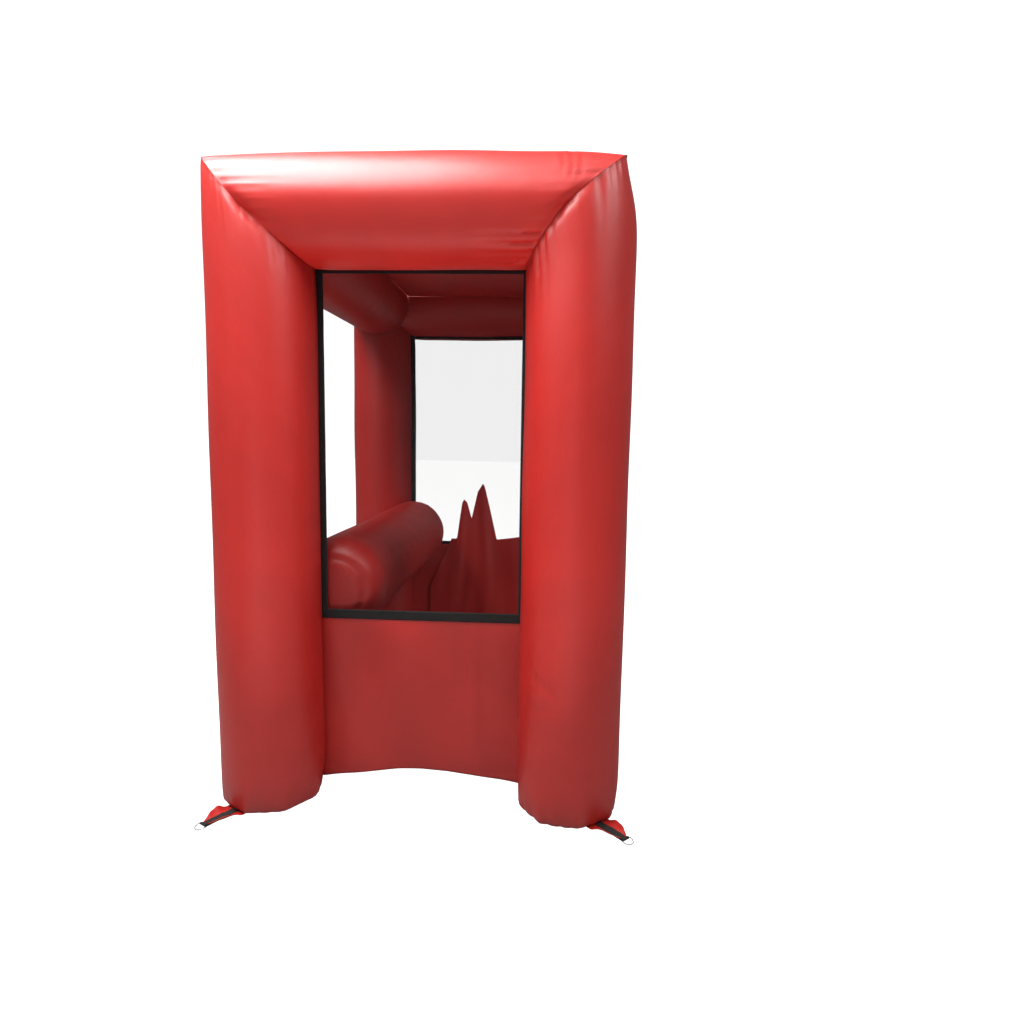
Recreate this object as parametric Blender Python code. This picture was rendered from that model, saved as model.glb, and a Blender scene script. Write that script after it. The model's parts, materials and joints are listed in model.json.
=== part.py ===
"""Walk-in photo booth, air-blown: four fat fabric columns and four beams carry clear windows.

The left side is open above an inflated bolster, and the right side is the doorway.

Metres, +Z up. The front faces -Y, +X is to the right of someone facing the booth, and the
origin is the middle of the footprint, on the underside of the ground sheet.
"""

from math import asin, cos, pi, radians, sin, sqrt, tau

import bmesh
import bpy
from mathutils import Matrix, Vector

# Overall sizes of the inflated frame
WIDTH = 1.50
DEPTH = 2.20
HEIGHT = 2.325
TUBE_RADIUS = 0.188
SKIN = 0.001
FOOT_ROUND = 0.045
SEGMENTS = 24

# Gaps between pieces
GAP = 0.0003
COPE_GAP = 0.003

# Walls, roof and ground sheet
WALL_INSET = 0.063
SILL_HEIGHT = 0.709
BINDING_SIDE = 0.022
BINDING_TOP = 0.013
BINDING_SILL = 0.036
BINDING_THICK = 0.003
SHEET_THICK = 0.0015
HEM_HEIGHT = 0.038
HEM_RISE = 0.040
ROOF_RISE = 0.035
GROUND_SHEET = 0.002
GROUND_INSET = 0.040

# Anchors: each lies on the floor and points the way its corner was pegged
ANCHOR_HEADING = {
    "front_left": -121,
    "front_right": -48,
    "back_left": 135,
    "back_right": 45,
}
ANCHOR_LEAF_LENGTH = 0.116
ANCHOR_LEAF_WIDTH = 0.100
ANCHOR_LEAF_THICK = 0.002
ANCHOR_TUCK = 0.020
WEBBING_WIDTH = 0.030
WEBBING_THICK = 0.002
RING_WIRE = 0.0025
RING_INNER_WIDTH = 0.034
RING_STRAIGHT = 0.010
RING_CLEARANCE = 0.0004
RING_SETBACK = 0.004

# Intake sleeve, and the ports that let the air through from tube to tube
AIR_PORT = 0.050
INTAKE_RADIUS = 0.105
INTAKE_LENGTH = 0.34
INTAKE_HEIGHT = 0.150
INTAKE_SKIN = 0.0015
STRAP_WIDTH = 0.030
STRAP_SETBACK = 0.012
STRAP_SLACK = 0.0012
BUCKLE = (0.036, 0.038, 0.0107)

# Bolster across the left side, and the slack liner inside the back wall
BOLSTER_RADIUS = 0.186
BOLSTER_REACH = 0.212
BOLSTER_Z = 0.780
BOLSTER_ROUND = 0.070
LINER_THICK = 0.010
LINER_TOP = 0.728
LINER_PEAK = 1.075

# Deflation zip on the back of a column
ZIP_LENGTH = 0.300
ZIP_WIDTH = 0.032
ZIP_FOOT = 0.270
ZIP_STOP = 0.006
ZIP_SLIDER_LENGTH = 0.012
ZIP_SLIDER_THICK = 0.0035
ZIP_PULL_LENGTH = 0.034
ZIP_PULL_WIDTH = 0.007
ZIP_PULL_THICK = 0.0017
ZIP_PULL_GAP = 0.0006

# Blower
HOUSING_RADIUS = 0.190
HOUSING_HALF_DEPTH = 0.115
HOUSING_WALL = 0.003
HOUSING_FLOOR_GAP = 0.050
DUCT_LENGTH = 0.270
COLLAR_RADIUS = 0.096
COLLAR_LENGTH = 0.085
INLET_RADIUS = 0.080
IMPELLER_RADIUS = 0.130
IMPELLER_BLADES = 14
BLADE_INNER = 0.030
BLADE_THICK = 0.003
MOTOR_RADIUS = 0.055
SHAFT_RADIUS = 0.007
SHAFT_GAP = 0.0002
GRILLE_SLOTS = 9
GRILLE_THICK = 0.003
GRIP_RADIUS = 0.009
SWITCH_BOX = (0.036, 0.090, 0.070)
ROCKER_WELL = 0.012
ROCKER_SIZE = (0.022, 0.026)
INLET_WELL = 0.022
INLET_SIZE = (0.028, 0.022)

# Worked out from the sizes above
COLUMN_X = WIDTH / 2 - TUBE_RADIUS
COLUMN_Y = DEPTH / 2 - TUBE_RADIUS
BEAM_Z = HEIGHT - TUBE_RADIUS
BOLSTER_X = BOLSTER_REACH - COLUMN_X

SIDES = {"left": -1, "right": 1}
ENDS = {"front": -1, "back": 1}

FINISHES = {
    "red_tarpaulin": ((0.46, 0.035, 0.028, 1), 0.42, 0.0),
    "clear_film": ((0.85, 0.88, 0.9, 0.3), 0.08, 0.0),
    "black_webbing": ((0.012, 0.012, 0.012, 1), 0.8, 0.0),
    "zinc_steel": ((0.55, 0.56, 0.57, 1), 0.35, 1.0),
    "blower_plastic": ((0.02, 0.05, 0.16, 1), 0.45, 0.0),
    "black_plastic": ((0.02, 0.02, 0.02, 1), 0.5, 0.0),
    "rubber": ((0.015, 0.015, 0.015, 1), 0.85, 0.0),
}


def clear_scene():
    """Takes every object out of the scene."""
    for old in list(bpy.data.objects):
        bpy.data.objects.remove(old, do_unlink=True)


def finish_of(kind):
    """The material of this name, made on its first use."""
    found = bpy.data.materials.get(kind)
    if found:
        return found
    colour, roughness, metallic = FINISHES[kind]
    made = bpy.data.materials.new(kind)
    made.use_nodes = True
    shader = made.node_tree.nodes["Principled BSDF"]
    shader.inputs["Base Color"].default_value = colour
    shader.inputs["Roughness"].default_value = roughness
    shader.inputs["Metallic"].default_value = metallic
    return made


def add_object(name, data, kind):
    """Links an object that holds this mesh or curve, in its own material."""
    data.materials.append(finish_of(kind))
    made = bpy.data.objects.new(name, data)
    bpy.context.scene.collection.objects.link(made)
    return made


def add_mesh(name, bm, kind):
    """Turns a closed bmesh into an object, with its faces out and its round sides smooth."""
    bmesh.ops.recalc_face_normals(bm, faces=bm.faces)
    mesh = bpy.data.meshes.new(name)
    bm.to_mesh(mesh)
    bm.free()
    mesh.shade_smooth()
    mesh.set_sharp_from_angle(angle=radians(35))
    return add_object(name, mesh, kind)


def put_origin(piece, point):
    """Moves a piece's origin to a point on its joint's axis and leaves the piece where it is."""
    piece.data.transform(Matrix.Translation(-Vector(point)))
    piece.location = point


def bridge(bm, first, second):
    """Fills the band between two rings that hold the same number of points."""
    count = len(first)
    for i in range(count):
        j = (i + 1) % count
        bm.faces.new((first[i], first[j], second[j], second[i]))


def loft(rings, closed=False):
    """A bmesh through rings of points. It ends in flat caps, or joins up when closed."""
    bm = bmesh.new()
    made = [[bm.verts.new(point) for point in ring] for ring in rings]
    for first, second in zip(made, made[1:]):
        bridge(bm, first, second)
    if closed:
        bridge(bm, made[-1], made[0])
    else:
        bm.faces.new(made[0])
        bm.faces.new(made[-1])
    return bm


def round_ring(radius, place, count=SEGMENTS):
    """Points round a circle: place turns each pair of offsets into a point."""
    angles = [tau * i / count for i in range(count)]
    return [place(radius * cos(a), radius * sin(a)) for a in angles]


def box(name, kind, low, high):
    """A plain block between two corners."""
    floor = [(low[0], low[1]), (high[0], low[1]), (high[0], high[1]), (low[0], high[1])]
    rings = [[(x, y, z) for x, y in floor] for z in (low[2], high[2])]
    return add_mesh(name, loft(rings), kind)


def plate(name, kind, outline, along, start, end):
    """An outline of pairs pushed out along an axis, from start to end."""
    axis = "XYZ".index(along)

    def point(pair, depth):
        values = list(pair)
        values.insert(axis, depth)
        return values

    rings = [[point(pair, depth) for pair in outline] for depth in (start, end)]
    return add_mesh(name, loft(rings), kind)


def shell_rings(skin, radius, start, end):
    """The four rings of an open tube: start and end give a point from two cross offsets."""
    inner = radius - skin
    return [
        round_ring(radius, start),
        round_ring(radius, end),
        round_ring(inner, end),
        round_ring(inner, start),
    ]


def boolean(target, cutter, operation):
    """Adds or takes away a helper shape, which stays out of the build."""
    cutter.hide_render = True
    cutter.display_type = "WIRE"
    step = target.modifiers.new(operation.lower(), "BOOLEAN")
    step.operation = operation
    step.solver = "EXACT"
    step.object = cutter


def wire(name, kind, points, radius, cyclic):
    """A bent wire of one thickness through these points."""
    curve = bpy.data.curves.new(name, "CURVE")
    curve.dimensions = "3D"
    curve.bevel_depth = radius
    curve.bevel_resolution = 2
    curve.use_fill_caps = not cyclic
    spline = curve.splines.new("POLY")
    spline.points.add(len(points) - 1)
    for target, point in zip(spline.points, points):
        target.co = (*point, 1)
    spline.use_cyclic_u = cyclic
    return add_object(name, curve, kind)


def round_bar(name, kind, radius, start, end, count=SEGMENTS):
    """A round bar between two points."""
    start, end = Vector(start), Vector(end)
    turn = (end - start).to_track_quat("Z", "Y")
    rings = []
    for middle in (start, end):

        def place(u, v, middle=middle):
            return middle + turn @ Vector((u, v, 0))

        rings.append(round_ring(radius, place, count))
    return add_mesh(name, loft(rings), kind)


def cut_air_port(name, owners, start, direction, reach):
    """Lets the air through: one round port through every skin on a line from a tube's middle."""
    end = Vector(start) + Vector(direction).normalized() * reach
    port = round_bar(name, "red_tarpaulin", AIR_PORT, start, end, 16)
    for owner in owners:
        boolean(owner, port, "DIFFERENCE")


# Inflated frame


def add_column(side_name, end_name):
    """A column: a closed, rounded foot on the floor, and a mitred open top under its beam."""
    side = SIDES[side_name]
    x, y = side * COLUMN_X, ENDS[end_name] * COLUMN_Y

    def level(height):
        return lambda u, v: (x + u, y + v, height)

    def mitre(u, v):
        return (x + u, y + v, BEAM_Z + side * u - GAP)

    def foot(skin):
        rings = []
        bend = FOOT_ROUND - skin
        for step in range(4):
            angle = step * pi / 6
            radius = TUBE_RADIUS - FOOT_ROUND + bend * sin(angle)
            rings.append(round_ring(radius, level(FOOT_ROUND - bend * cos(angle))))
        return rings

    inside = [round_ring(TUBE_RADIUS - SKIN, mitre)] + foot(SKIN)[::-1]
    rings = foot(0) + [round_ring(TUBE_RADIUS, mitre)] + inside
    return add_mesh(f"column_{end_name}_{side_name}", loft(rings), "red_tarpaulin")


def add_arch_beam(end_name):
    """The front or back beam, mitred onto its two columns like a picture frame."""
    y = ENDS[end_name] * COLUMN_Y

    def end_at(side):
        return lambda v, w: (side * (COLUMN_X + w - GAP), y + v, BEAM_Z + w)

    rings = shell_rings(SKIN, TUBE_RADIUS, end_at(-1), end_at(1))
    return add_mesh(f"beam_{end_name}", loft(rings, closed=True), "red_tarpaulin")


def add_side_beam(side_name):
    """A side beam, coped at each end to the round of the arch that it meets."""
    side = SIDES[side_name]

    def end_at(end):
        def point(u, w):
            reach = sqrt((TUBE_RADIUS + COPE_GAP) ** 2 - max(u, w) ** 2)
            return (side * (COLUMN_X + u), end * (COLUMN_Y - reach), BEAM_Z + w)

        return point

    rings = shell_rings(SKIN, TUBE_RADIUS, end_at(-1), end_at(1))
    add_mesh(f"beam_{side_name}", loft(rings, closed=True), "red_tarpaulin")


def cut_beam_ports(end_name, column_of, beam):
    """The ports between an arch and the two side beams, each shared by a column and its beam."""
    for side_name, side in SIDES.items():
        middle = (side * COLUMN_X, ENDS[end_name] * COLUMN_Y, BEAM_Z)
        inward = (0, -ENDS[end_name], 0)
        owners = [column_of[side_name], beam]
        name = f"beam_port_{end_name}_{side_name}"
        cut_air_port(name, owners, middle, inward, TUBE_RADIUS + COPE_GAP)


# Walls: each is a window, its binding tape and a lower panel, in one plane


def half_chord(inset):
    """How far a flat piece, this far in from the tubes' middle plane, stays off a tube's axis."""
    return sqrt((TUBE_RADIUS + GAP) ** 2 - inset**2)


def hem_line(half):
    """The lower edge of a panel this wide: its hem rises towards the middle."""
    steps = 8
    points = []
    for i in range(steps + 1):
        across = half * (2 * i / steps - 1)
        points.append((across, HEM_HEIGHT + HEM_RISE * sin(pi * i / steps)))
    return points


def add_window_wall(end_name):
    """The front or back wall: the clear window, its binding tape and the lower panel."""
    direction = ENDS[end_name]
    binding_out = WALL_INSET
    binding_in = binding_out + BINDING_THICK
    sheet_out = binding_in + GAP
    sheet_in = sheet_out + SHEET_THICK
    top = BEAM_Z - half_chord(binding_out)
    half = COLUMN_X - half_chord(binding_out)
    opening = half - BINDING_SIDE
    low, high = SILL_HEIGHT - BINDING_SILL, top - BINDING_TOP

    def depth(inset):
        return direction * (COLUMN_Y - inset)

    def rectangle(half_width, bottom, head, inset):
        corners = [
            (-half_width, bottom),
            (half_width, bottom),
            (half_width, head),
            (-half_width, head),
        ]
        return [(x, depth(inset), z) for x, z in corners]

    rings = [
        rectangle(half, low, top, binding_out),
        rectangle(half, low, top, binding_in),
        rectangle(opening, SILL_HEIGHT, high, binding_in),
        rectangle(opening, SILL_HEIGHT, high, binding_out),
    ]
    add_mesh(f"binding_{end_name}", loft(rings, closed=True), "black_webbing")
    seam = SILL_HEIGHT - BINDING_SILL / 2
    rings = [
        rectangle(half, seam, top, sheet_out),
        rectangle(half, seam, top, sheet_in),
    ]
    add_mesh(f"window_{end_name}", loft(rings), "clear_film")
    outline = hem_line(half) + [(half, seam - GAP), (-half, seam - GAP)]
    ends = sorted((depth(sheet_out), depth(sheet_in)))
    plate(f"lower_panel_{end_name}", "red_tarpaulin", outline, "Y", *ends)


def add_roof():
    """The roof sheet, held between the four beams."""
    half_x = COLUMN_X - half_chord(ROOF_RISE)
    half_y = COLUMN_Y - half_chord(ROOF_RISE)
    bottom = BEAM_Z + ROOF_RISE
    low = (-half_x, -half_y, bottom)
    box("roof_sheet", "red_tarpaulin", low, (half_x, half_y, bottom + SHEET_THICK))


def add_ground_sheet():
    """The ground sheet, which stops short of the front and back panels."""
    half_x = COLUMN_X - WALL_INSET / 2
    half_y = COLUMN_Y - TUBE_RADIUS - GROUND_INSET
    box("ground_sheet", "red_tarpaulin", (-half_x, -half_y, 0), (half_x, half_y, GROUND_SHEET))


# Anchors: a fabric leaf under each outer corner, with webbing and a D-ring


def ring_tilt(bar_height, length):
    """How far a D-ring of this length dips, so that its far end is just off the floor."""
    return asin((bar_height - RING_WIRE - GAP) / length)


def hairpin(start, bar_at, bar_height):
    """The side outline of webbing that runs out, wraps the ring's bar and returns on itself."""
    bend = RING_WIRE + RING_CLEARANCE + WEBBING_THICK / 2
    low = bar_height - bend
    upper = low + WEBBING_THICK + GAP
    arc = [radians(angle) for angle in range(-90, 91, 30)]
    middle = [(start, low)]
    middle = middle + [(bar_at + bend * cos(a), bar_height + bend * sin(a)) for a in arc]
    middle = middle + [(bar_at - 3 * bend, upper), (start, upper)]
    left, right = [], []
    for i, point in enumerate(middle):
        before = Vector(middle[max(i - 1, 0)])
        after = Vector(middle[min(i + 1, len(middle) - 1)])
        along = (after - before).normalized()
        across = Vector((-along.y, along.x)) * WEBBING_THICK / 2
        left.append(Vector(point) + across)
        right.append(Vector(point) - across)
    return [tuple(point) for point in left + right[::-1]]


def add_anchor(end_name, side_name):
    """One anchor, built along +X and then turned to its heading round its column's axis."""
    corner = f"{end_name}_{side_name}"
    middle = Vector((SIDES[side_name] * COLUMN_X, ENDS[end_name] * COLUMN_Y, 0))
    turn = Matrix.Rotation(radians(ANCHOR_HEADING[corner]), 4, "Z")
    place = Matrix.Translation(middle) @ turn
    start = TUBE_RADIUS - ANCHOR_TUCK
    leaf_end = start + ANCHOR_LEAF_LENGTH
    bend = RING_WIRE + RING_CLEARANCE + WEBBING_THICK
    bar_height = ANCHOR_LEAF_THICK + GAP + bend
    bar_at = leaf_end + bend + RING_SETBACK

    steps = 10
    side_line = []
    for i in range(steps + 1):
        share = i / steps
        half = WEBBING_WIDTH / 2 + (ANCHOR_LEAF_WIDTH - WEBBING_WIDTH) / 2 * (1 - share**2.2)
        side_line.append((start + share * ANCHOR_LEAF_LENGTH, half))
    outline = side_line + [(x, -y) for x, y in side_line[::-1]]
    leaf = plate(f"anchor_leaf_{corner}", "red_tarpaulin", outline, "Z", 0, ANCHOR_LEAF_THICK)
    leaf.matrix_world = place

    profile = hairpin(start, bar_at, bar_height)
    rings = [
        [(x, across, z) for x, z in profile]
        for across in (-WEBBING_WIDTH / 2, WEBBING_WIDTH / 2)
    ]
    webbing = add_mesh(f"anchor_webbing_{corner}", loft(rings), "black_webbing")
    webbing.matrix_world = place

    arm = RING_INNER_WIDTH / 2 + RING_WIRE
    points = [(0, -arm, 0), (0, arm, 0)]
    bow = [radians(angle) for angle in range(90, -91, -15)]
    points = points + [(RING_STRAIGHT + arm * cos(a), arm * sin(a), 0) for a in bow]
    ring = wire(f"d_ring_{corner}", "zinc_steel", points, RING_WIRE, True)
    tilt = Matrix.Rotation(ring_tilt(bar_height, RING_STRAIGHT + arm), 4, "Y")
    ring.matrix_world = place @ Matrix.Translation((bar_at, 0, bar_height)) @ tilt


# Intake sleeve


def add_intake_sleeve(column):
    """The sleeve that feeds the back right column, coped to it and open at the blower."""

    def at_column(u, w):
        reach = sqrt((TUBE_RADIUS + COPE_GAP) ** 2 - u**2)
        return (COLUMN_X + u, COLUMN_Y + reach, INTAKE_HEIGHT + w)

    def at_blower(u, w):
        return (COLUMN_X + u, COLUMN_Y + TUBE_RADIUS + INTAKE_LENGTH, INTAKE_HEIGHT + w)

    rings = shell_rings(INTAKE_SKIN, INTAKE_RADIUS, at_column, at_blower)
    add_mesh("intake_sleeve", loft(rings, closed=True), "red_tarpaulin")
    middle = (COLUMN_X, COLUMN_Y, INTAKE_HEIGHT)
    cut_air_port("intake_port", [column], middle, (0, 1, 0), TUBE_RADIUS + COPE_GAP)


def add_intake_strap():
    """The strap that ties the intake sleeve to the blower's collar, with its buckle."""
    start = COLUMN_Y + TUBE_RADIUS + INTAKE_LENGTH - STRAP_SETBACK - STRAP_WIDTH

    def at(y):
        return lambda u, w: (COLUMN_X + u, y, INTAKE_HEIGHT + w)

    outside = (INTAKE_RADIUS + STRAP_SLACK) / cos(pi / SEGMENTS) + WEBBING_THICK
    rings = shell_rings(WEBBING_THICK, outside, at(start), at(start + STRAP_WIDTH))
    add_mesh("intake_strap", loft(rings, closed=True), "black_webbing")
    wide, long, tall = BUCKLE
    y = start + (STRAP_WIDTH - long) / 2
    z = INTAKE_HEIGHT + outside + GAP
    low = (COLUMN_X - wide / 2, y, z)
    box("strap_buckle", "black_plastic", low, (COLUMN_X + wide / 2, y + long, z + tall))


# Bolster, its panel and the back wall's liner


def bolster_body(name, skin):
    """The bolster's outside, or its air space when a skin is given, pressed round the columns."""
    length = 2 * (COLUMN_Y - WALL_INSET - 4 * BINDING_THICK - skin)
    widest = BOLSTER_RADIUS - skin
    bend = BOLSTER_ROUND - skin
    rings = []
    for step in range(5):
        angle = (step + 1) * pi / 10
        rings.append((widest - bend * (1 - sin(angle)), bend * (1 - cos(angle))))
    rings = rings + [(radius, length - depth) for radius, depth in rings[::-1]]

    def at(depth):
        return lambda u, w: (BOLSTER_X + u, depth - length / 2, BOLSTER_Z + w)

    solid = loft([round_ring(radius, at(depth)) for radius, depth in rings])
    body = add_mesh(name, solid, "red_tarpaulin")
    for end_name, end in ENDS.items():

        def post(z, end=end):
            return lambda u, v: (-COLUMN_X + u, end * COLUMN_Y + v, z)

        radius = (TUBE_RADIUS + COPE_GAP + skin) / cos(pi / SEGMENTS)
        spans = (BOLSTER_Z - 2 * BOLSTER_RADIUS, BOLSTER_Z + 2 * BOLSTER_RADIUS)
        cutter = loft([round_ring(radius, post(z)) for z in spans])
        boolean(body, add_mesh(f"post_{name}_{end_name}", cutter, "red_tarpaulin"), "DIFFERENCE")
    return body


def add_bolster(columns):
    """The bolster: a plump hollow tube with domed ends, with a port to each left column."""
    bolster = bolster_body("bolster_left", 0)
    boolean(bolster, bolster_body("bolster_air", SKIN), "DIFFERENCE")
    for end_name, column in columns.items():
        end = ENDS[end_name]
        middle = (-COLUMN_X, end * COLUMN_Y, BOLSTER_Z)
        inward = (BOLSTER_X + COLUMN_X, -end * (BOLSTER_X + COLUMN_X), 0)
        reach = TUBE_RADIUS + 2 * COPE_GAP + SKIN
        cut_air_port(f"bolster_port_{end_name}", [column, bolster], middle, inward, reach)


def add_left_panel():
    """The fabric between the left columns, from its hem up to the bolster's underside."""
    face = -(COLUMN_X - WALL_INSET)
    half = COLUMN_Y - half_chord(WALL_INSET)
    nearest = abs(face + SHEET_THICK - BOLSTER_X)
    top = BOLSTER_Z - sqrt((BOLSTER_RADIUS + GAP) ** 2 - nearest**2) - GAP
    outline = hem_line(half) + [(half, top), (-half, top)]
    plate("lower_panel_left", "red_tarpaulin", outline, "X", face - SHEET_THICK, face)


def add_slack_liner():
    """The loose liner inside the back wall: its top edge stands up in two pointed folds."""
    back = COLUMN_Y - WALL_INSET - 4 * BINDING_THICK
    left = BOLSTER_X + BOLSTER_RADIUS * 0.45
    right = COLUMN_X - half_chord(WALL_INSET) - 4 * GAP
    low = HEM_HEIGHT
    rise = LINER_PEAK - LINER_TOP
    folds = [
        (0.152, 0.00),
        (0.076, 0.95),
        (0.064, 1.00),
        (0.030, 0.84),
        (-0.006, 0.37),
        (-0.034, 0.66),
        (-0.050, 0.71),
        (-0.064, 0.66),
        (-0.096, 0.00),
    ]
    outline = [(left, low), (right, low), (right, LINER_TOP + 0.03)]
    outline = outline + [(x, LINER_TOP + share * rise) for x, share in folds]
    outline = outline + [(-0.130, LINER_TOP), (-0.130, 0.500), (left, 0.420)]
    plate("slack_liner", "red_tarpaulin", outline, "Y", back - LINER_THICK, back)


# Deflation zip


def add_deflation_zip():
    """The zip that lets the air out: a taped slit, a slider that runs down it and its pull."""
    x = -COLUMN_X
    face = COLUMN_Y + TUBE_RADIUS + GAP
    tape_face = face + SHEET_THICK
    top = ZIP_FOOT + ZIP_LENGTH
    half = ZIP_WIDTH / 2
    box("zip_tape", "black_webbing", (x - half, face, ZIP_FOOT), (x + half, tape_face, top))
    body_low = tape_face + GAP
    body_high = body_low + ZIP_SLIDER_THICK
    slider_low = top - ZIP_STOP - ZIP_SLIDER_LENGTH
    nose, shoulder = ZIP_SLIDER_LENGTH * 0.38, ZIP_SLIDER_LENGTH / 2
    outline = [
        (x - nose, slider_low),
        (x + nose, slider_low),
        (x + shoulder, slider_low + ZIP_SLIDER_LENGTH),
        (x - shoulder, slider_low + ZIP_SLIDER_LENGTH),
    ]
    slider = plate("zip_slider", "zinc_steel", outline, "Y", body_low, body_high)
    pivot_z = slider_low + ZIP_SLIDER_LENGTH / 2
    put_origin(slider, (x, body_low, pivot_z))
    near = body_high + ZIP_PULL_GAP
    low = (x - ZIP_PULL_WIDTH / 2, near, pivot_z - ZIP_PULL_LENGTH)
    high = (x + ZIP_PULL_WIDTH / 2, near + ZIP_PULL_THICK, pivot_z + ZIP_PULL_THICK / 2)
    pull = box("zip_pull", "zinc_steel", low, high)
    put_origin(pull, (x, near + ZIP_PULL_THICK / 2, pivot_z))


# Blower, behind the back right column

COLLAR_END = COLUMN_Y + TUBE_RADIUS + INTAKE_LENGTH - 0.055
DUCT_FACE = COLLAR_END + COLLAR_LENGTH
SCROLL_Y = DUCT_FACE + DUCT_LENGTH
SCROLL_Z = HOUSING_FLOOR_GAP + HOUSING_RADIUS
DUCT_TOP = 2 * INTAKE_HEIGHT - HOUSING_FLOOR_GAP


def scroll_outline(inset, duct_face):
    """The housing's side outline in Y and Z: a round scroll that runs out into a flat duct."""
    radius = HOUSING_RADIUS - inset
    duct_top = DUCT_TOP - inset
    last = pi - asin((duct_top - SCROLL_Z) / radius)
    steps = 20
    points = []
    for i in range(steps + 1):
        angle = -pi / 2 + (last + pi / 2) * i / steps
        points.append((SCROLL_Y + radius * cos(angle), SCROLL_Z + radius * sin(angle)))
    return points + [(duct_face, duct_top), (duct_face, HOUSING_FLOOR_GAP + inset)]


def disc(name, kind, radius, start, end, count=SEGMENTS):
    """A round piece on the wheel's axis, between two places along X."""
    ends = [(x, SCROLL_Y, SCROLL_Z) for x in (start, end)]
    return round_bar(name, kind, radius, *ends, count)


def add_housing():
    """Two half shells that meet on the blower's middle plane, open at the duct."""
    for side_name, side in SIDES.items():
        seam = COLUMN_X + side * GAP / 2
        outer = COLUMN_X + side * HOUSING_HALF_DEPTH
        ends = sorted((seam, outer))
        outline = scroll_outline(0, DUCT_FACE)
        half = plate(f"blower_housing_{side_name}", "blower_plastic", outline, "X", *ends)
        ends = sorted((seam - side * 0.01, outer - side * HOUSING_WALL))
        hollow = scroll_outline(HOUSING_WALL, DUCT_FACE - 0.01)
        inside = plate(f"hollow_{side_name}", "blower_plastic", hollow, "X", *ends)
        boolean(half, inside, "DIFFERENCE")
        hole_radius = INLET_RADIUS if side < 0 else SHAFT_RADIUS + 0.002
        ends = sorted((outer - side * 0.01, outer + side * 0.01))
        hole = disc(f"hole_{side_name}", "blower_plastic", hole_radius, *ends)
        boolean(half, hole, "DIFFERENCE")


def add_collar():
    """The outlet: a flange on the duct that turns from square to round for the sleeve."""
    half_height = (DUCT_TOP - HOUSING_FLOOR_GAP) / 2
    neck = DUCT_FACE - 0.030

    def square(y, inset):
        half_x, half_z = HOUSING_HALF_DEPTH - inset, half_height - inset

        def point(u, w):
            scale = min(half_x / max(abs(u), 1e-9), half_z / max(abs(w), 1e-9))
            return (COLUMN_X + u * scale, y, INTAKE_HEIGHT + w * scale)

        return point

    def around(y):
        return lambda u, w: (COLUMN_X + u, y, INTAKE_HEIGHT + w)

    wall = HOUSING_WALL
    rings = [
        round_ring(1, square(DUCT_FACE - GAP, 0)),
        round_ring(1, square(DUCT_FACE - 0.004, 0)),
        round_ring(COLLAR_RADIUS, around(neck)),
        round_ring(COLLAR_RADIUS, around(COLLAR_END)),
        round_ring(COLLAR_RADIUS - wall, around(COLLAR_END)),
        round_ring(COLLAR_RADIUS - wall, around(neck)),
        round_ring(1, square(DUCT_FACE - GAP, 2 * wall)),
    ]
    add_mesh("outlet_collar", loft(rings, closed=True), "black_plastic")


def add_inlet_grille():
    """The guard over the air inlet: a flat disc with level slots."""
    outer = COLUMN_X - HOUSING_HALF_DEPTH - GAP
    radius = INLET_RADIUS + 4 * HOUSING_WALL
    guard = disc("inlet_grille", "black_plastic", radius, outer - GRILLE_THICK, outer)
    pitch = 2 * INLET_RADIUS / GRILLE_SLOTS
    half_slot = pitch * 0.3
    for i in range(GRILLE_SLOTS):
        z = SCROLL_Z - INLET_RADIUS + pitch * (i + 0.5)
        half = sqrt(INLET_RADIUS**2 - (abs(z - SCROLL_Z) + half_slot) ** 2)
        low = (outer - 2 * GRILLE_THICK, SCROLL_Y - half, z - half_slot)
        high = (outer + GRILLE_THICK, SCROLL_Y + half, z + half_slot)
        boolean(guard, box(f"slot_{i}", "black_plastic", low, high), "DIFFERENCE")


WHEEL_FRONT = COLUMN_X - 0.070
WHEEL_BACK = COLUMN_X + 0.020
WHEEL_PLATE = 0.004


def add_impeller():
    """The fan wheel: a back plate with a hub, and straight blades that stand on it."""
    plate_front = WHEEL_BACK - WHEEL_PLATE
    wheel = disc("impeller", "black_plastic", IMPELLER_RADIUS, plate_front, WHEEL_BACK, 36)
    tip = IMPELLER_RADIUS - WHEEL_PLATE
    corners = ((BLADE_INNER, -1), (tip, -1), (tip, 1), (BLADE_INNER, 1))
    outline = []
    for i in range(IMPELLER_BLADES):
        angle = tau * i / IMPELLER_BLADES
        for radius, across in corners:
            turn = angle + across * BLADE_THICK / 2 / radius
            outline.append((SCROLL_Y + radius * cos(turn), SCROLL_Z + radius * sin(turn)))
    ends = (WHEEL_FRONT, plate_front + WHEEL_PLATE / 2)
    boolean(wheel, plate("blades", "black_plastic", outline, "X", *ends), "UNION")
    ends = (WHEEL_FRONT - WHEEL_PLATE, WHEEL_BACK + WHEEL_PLATE)
    bore = disc("bore", "black_plastic", SHAFT_RADIUS + SHAFT_GAP, *ends, 36)
    boolean(wheel, bore, "DIFFERENCE")
    put_origin(wheel, (WHEEL_BACK, SCROLL_Y, SCROLL_Z))


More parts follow.
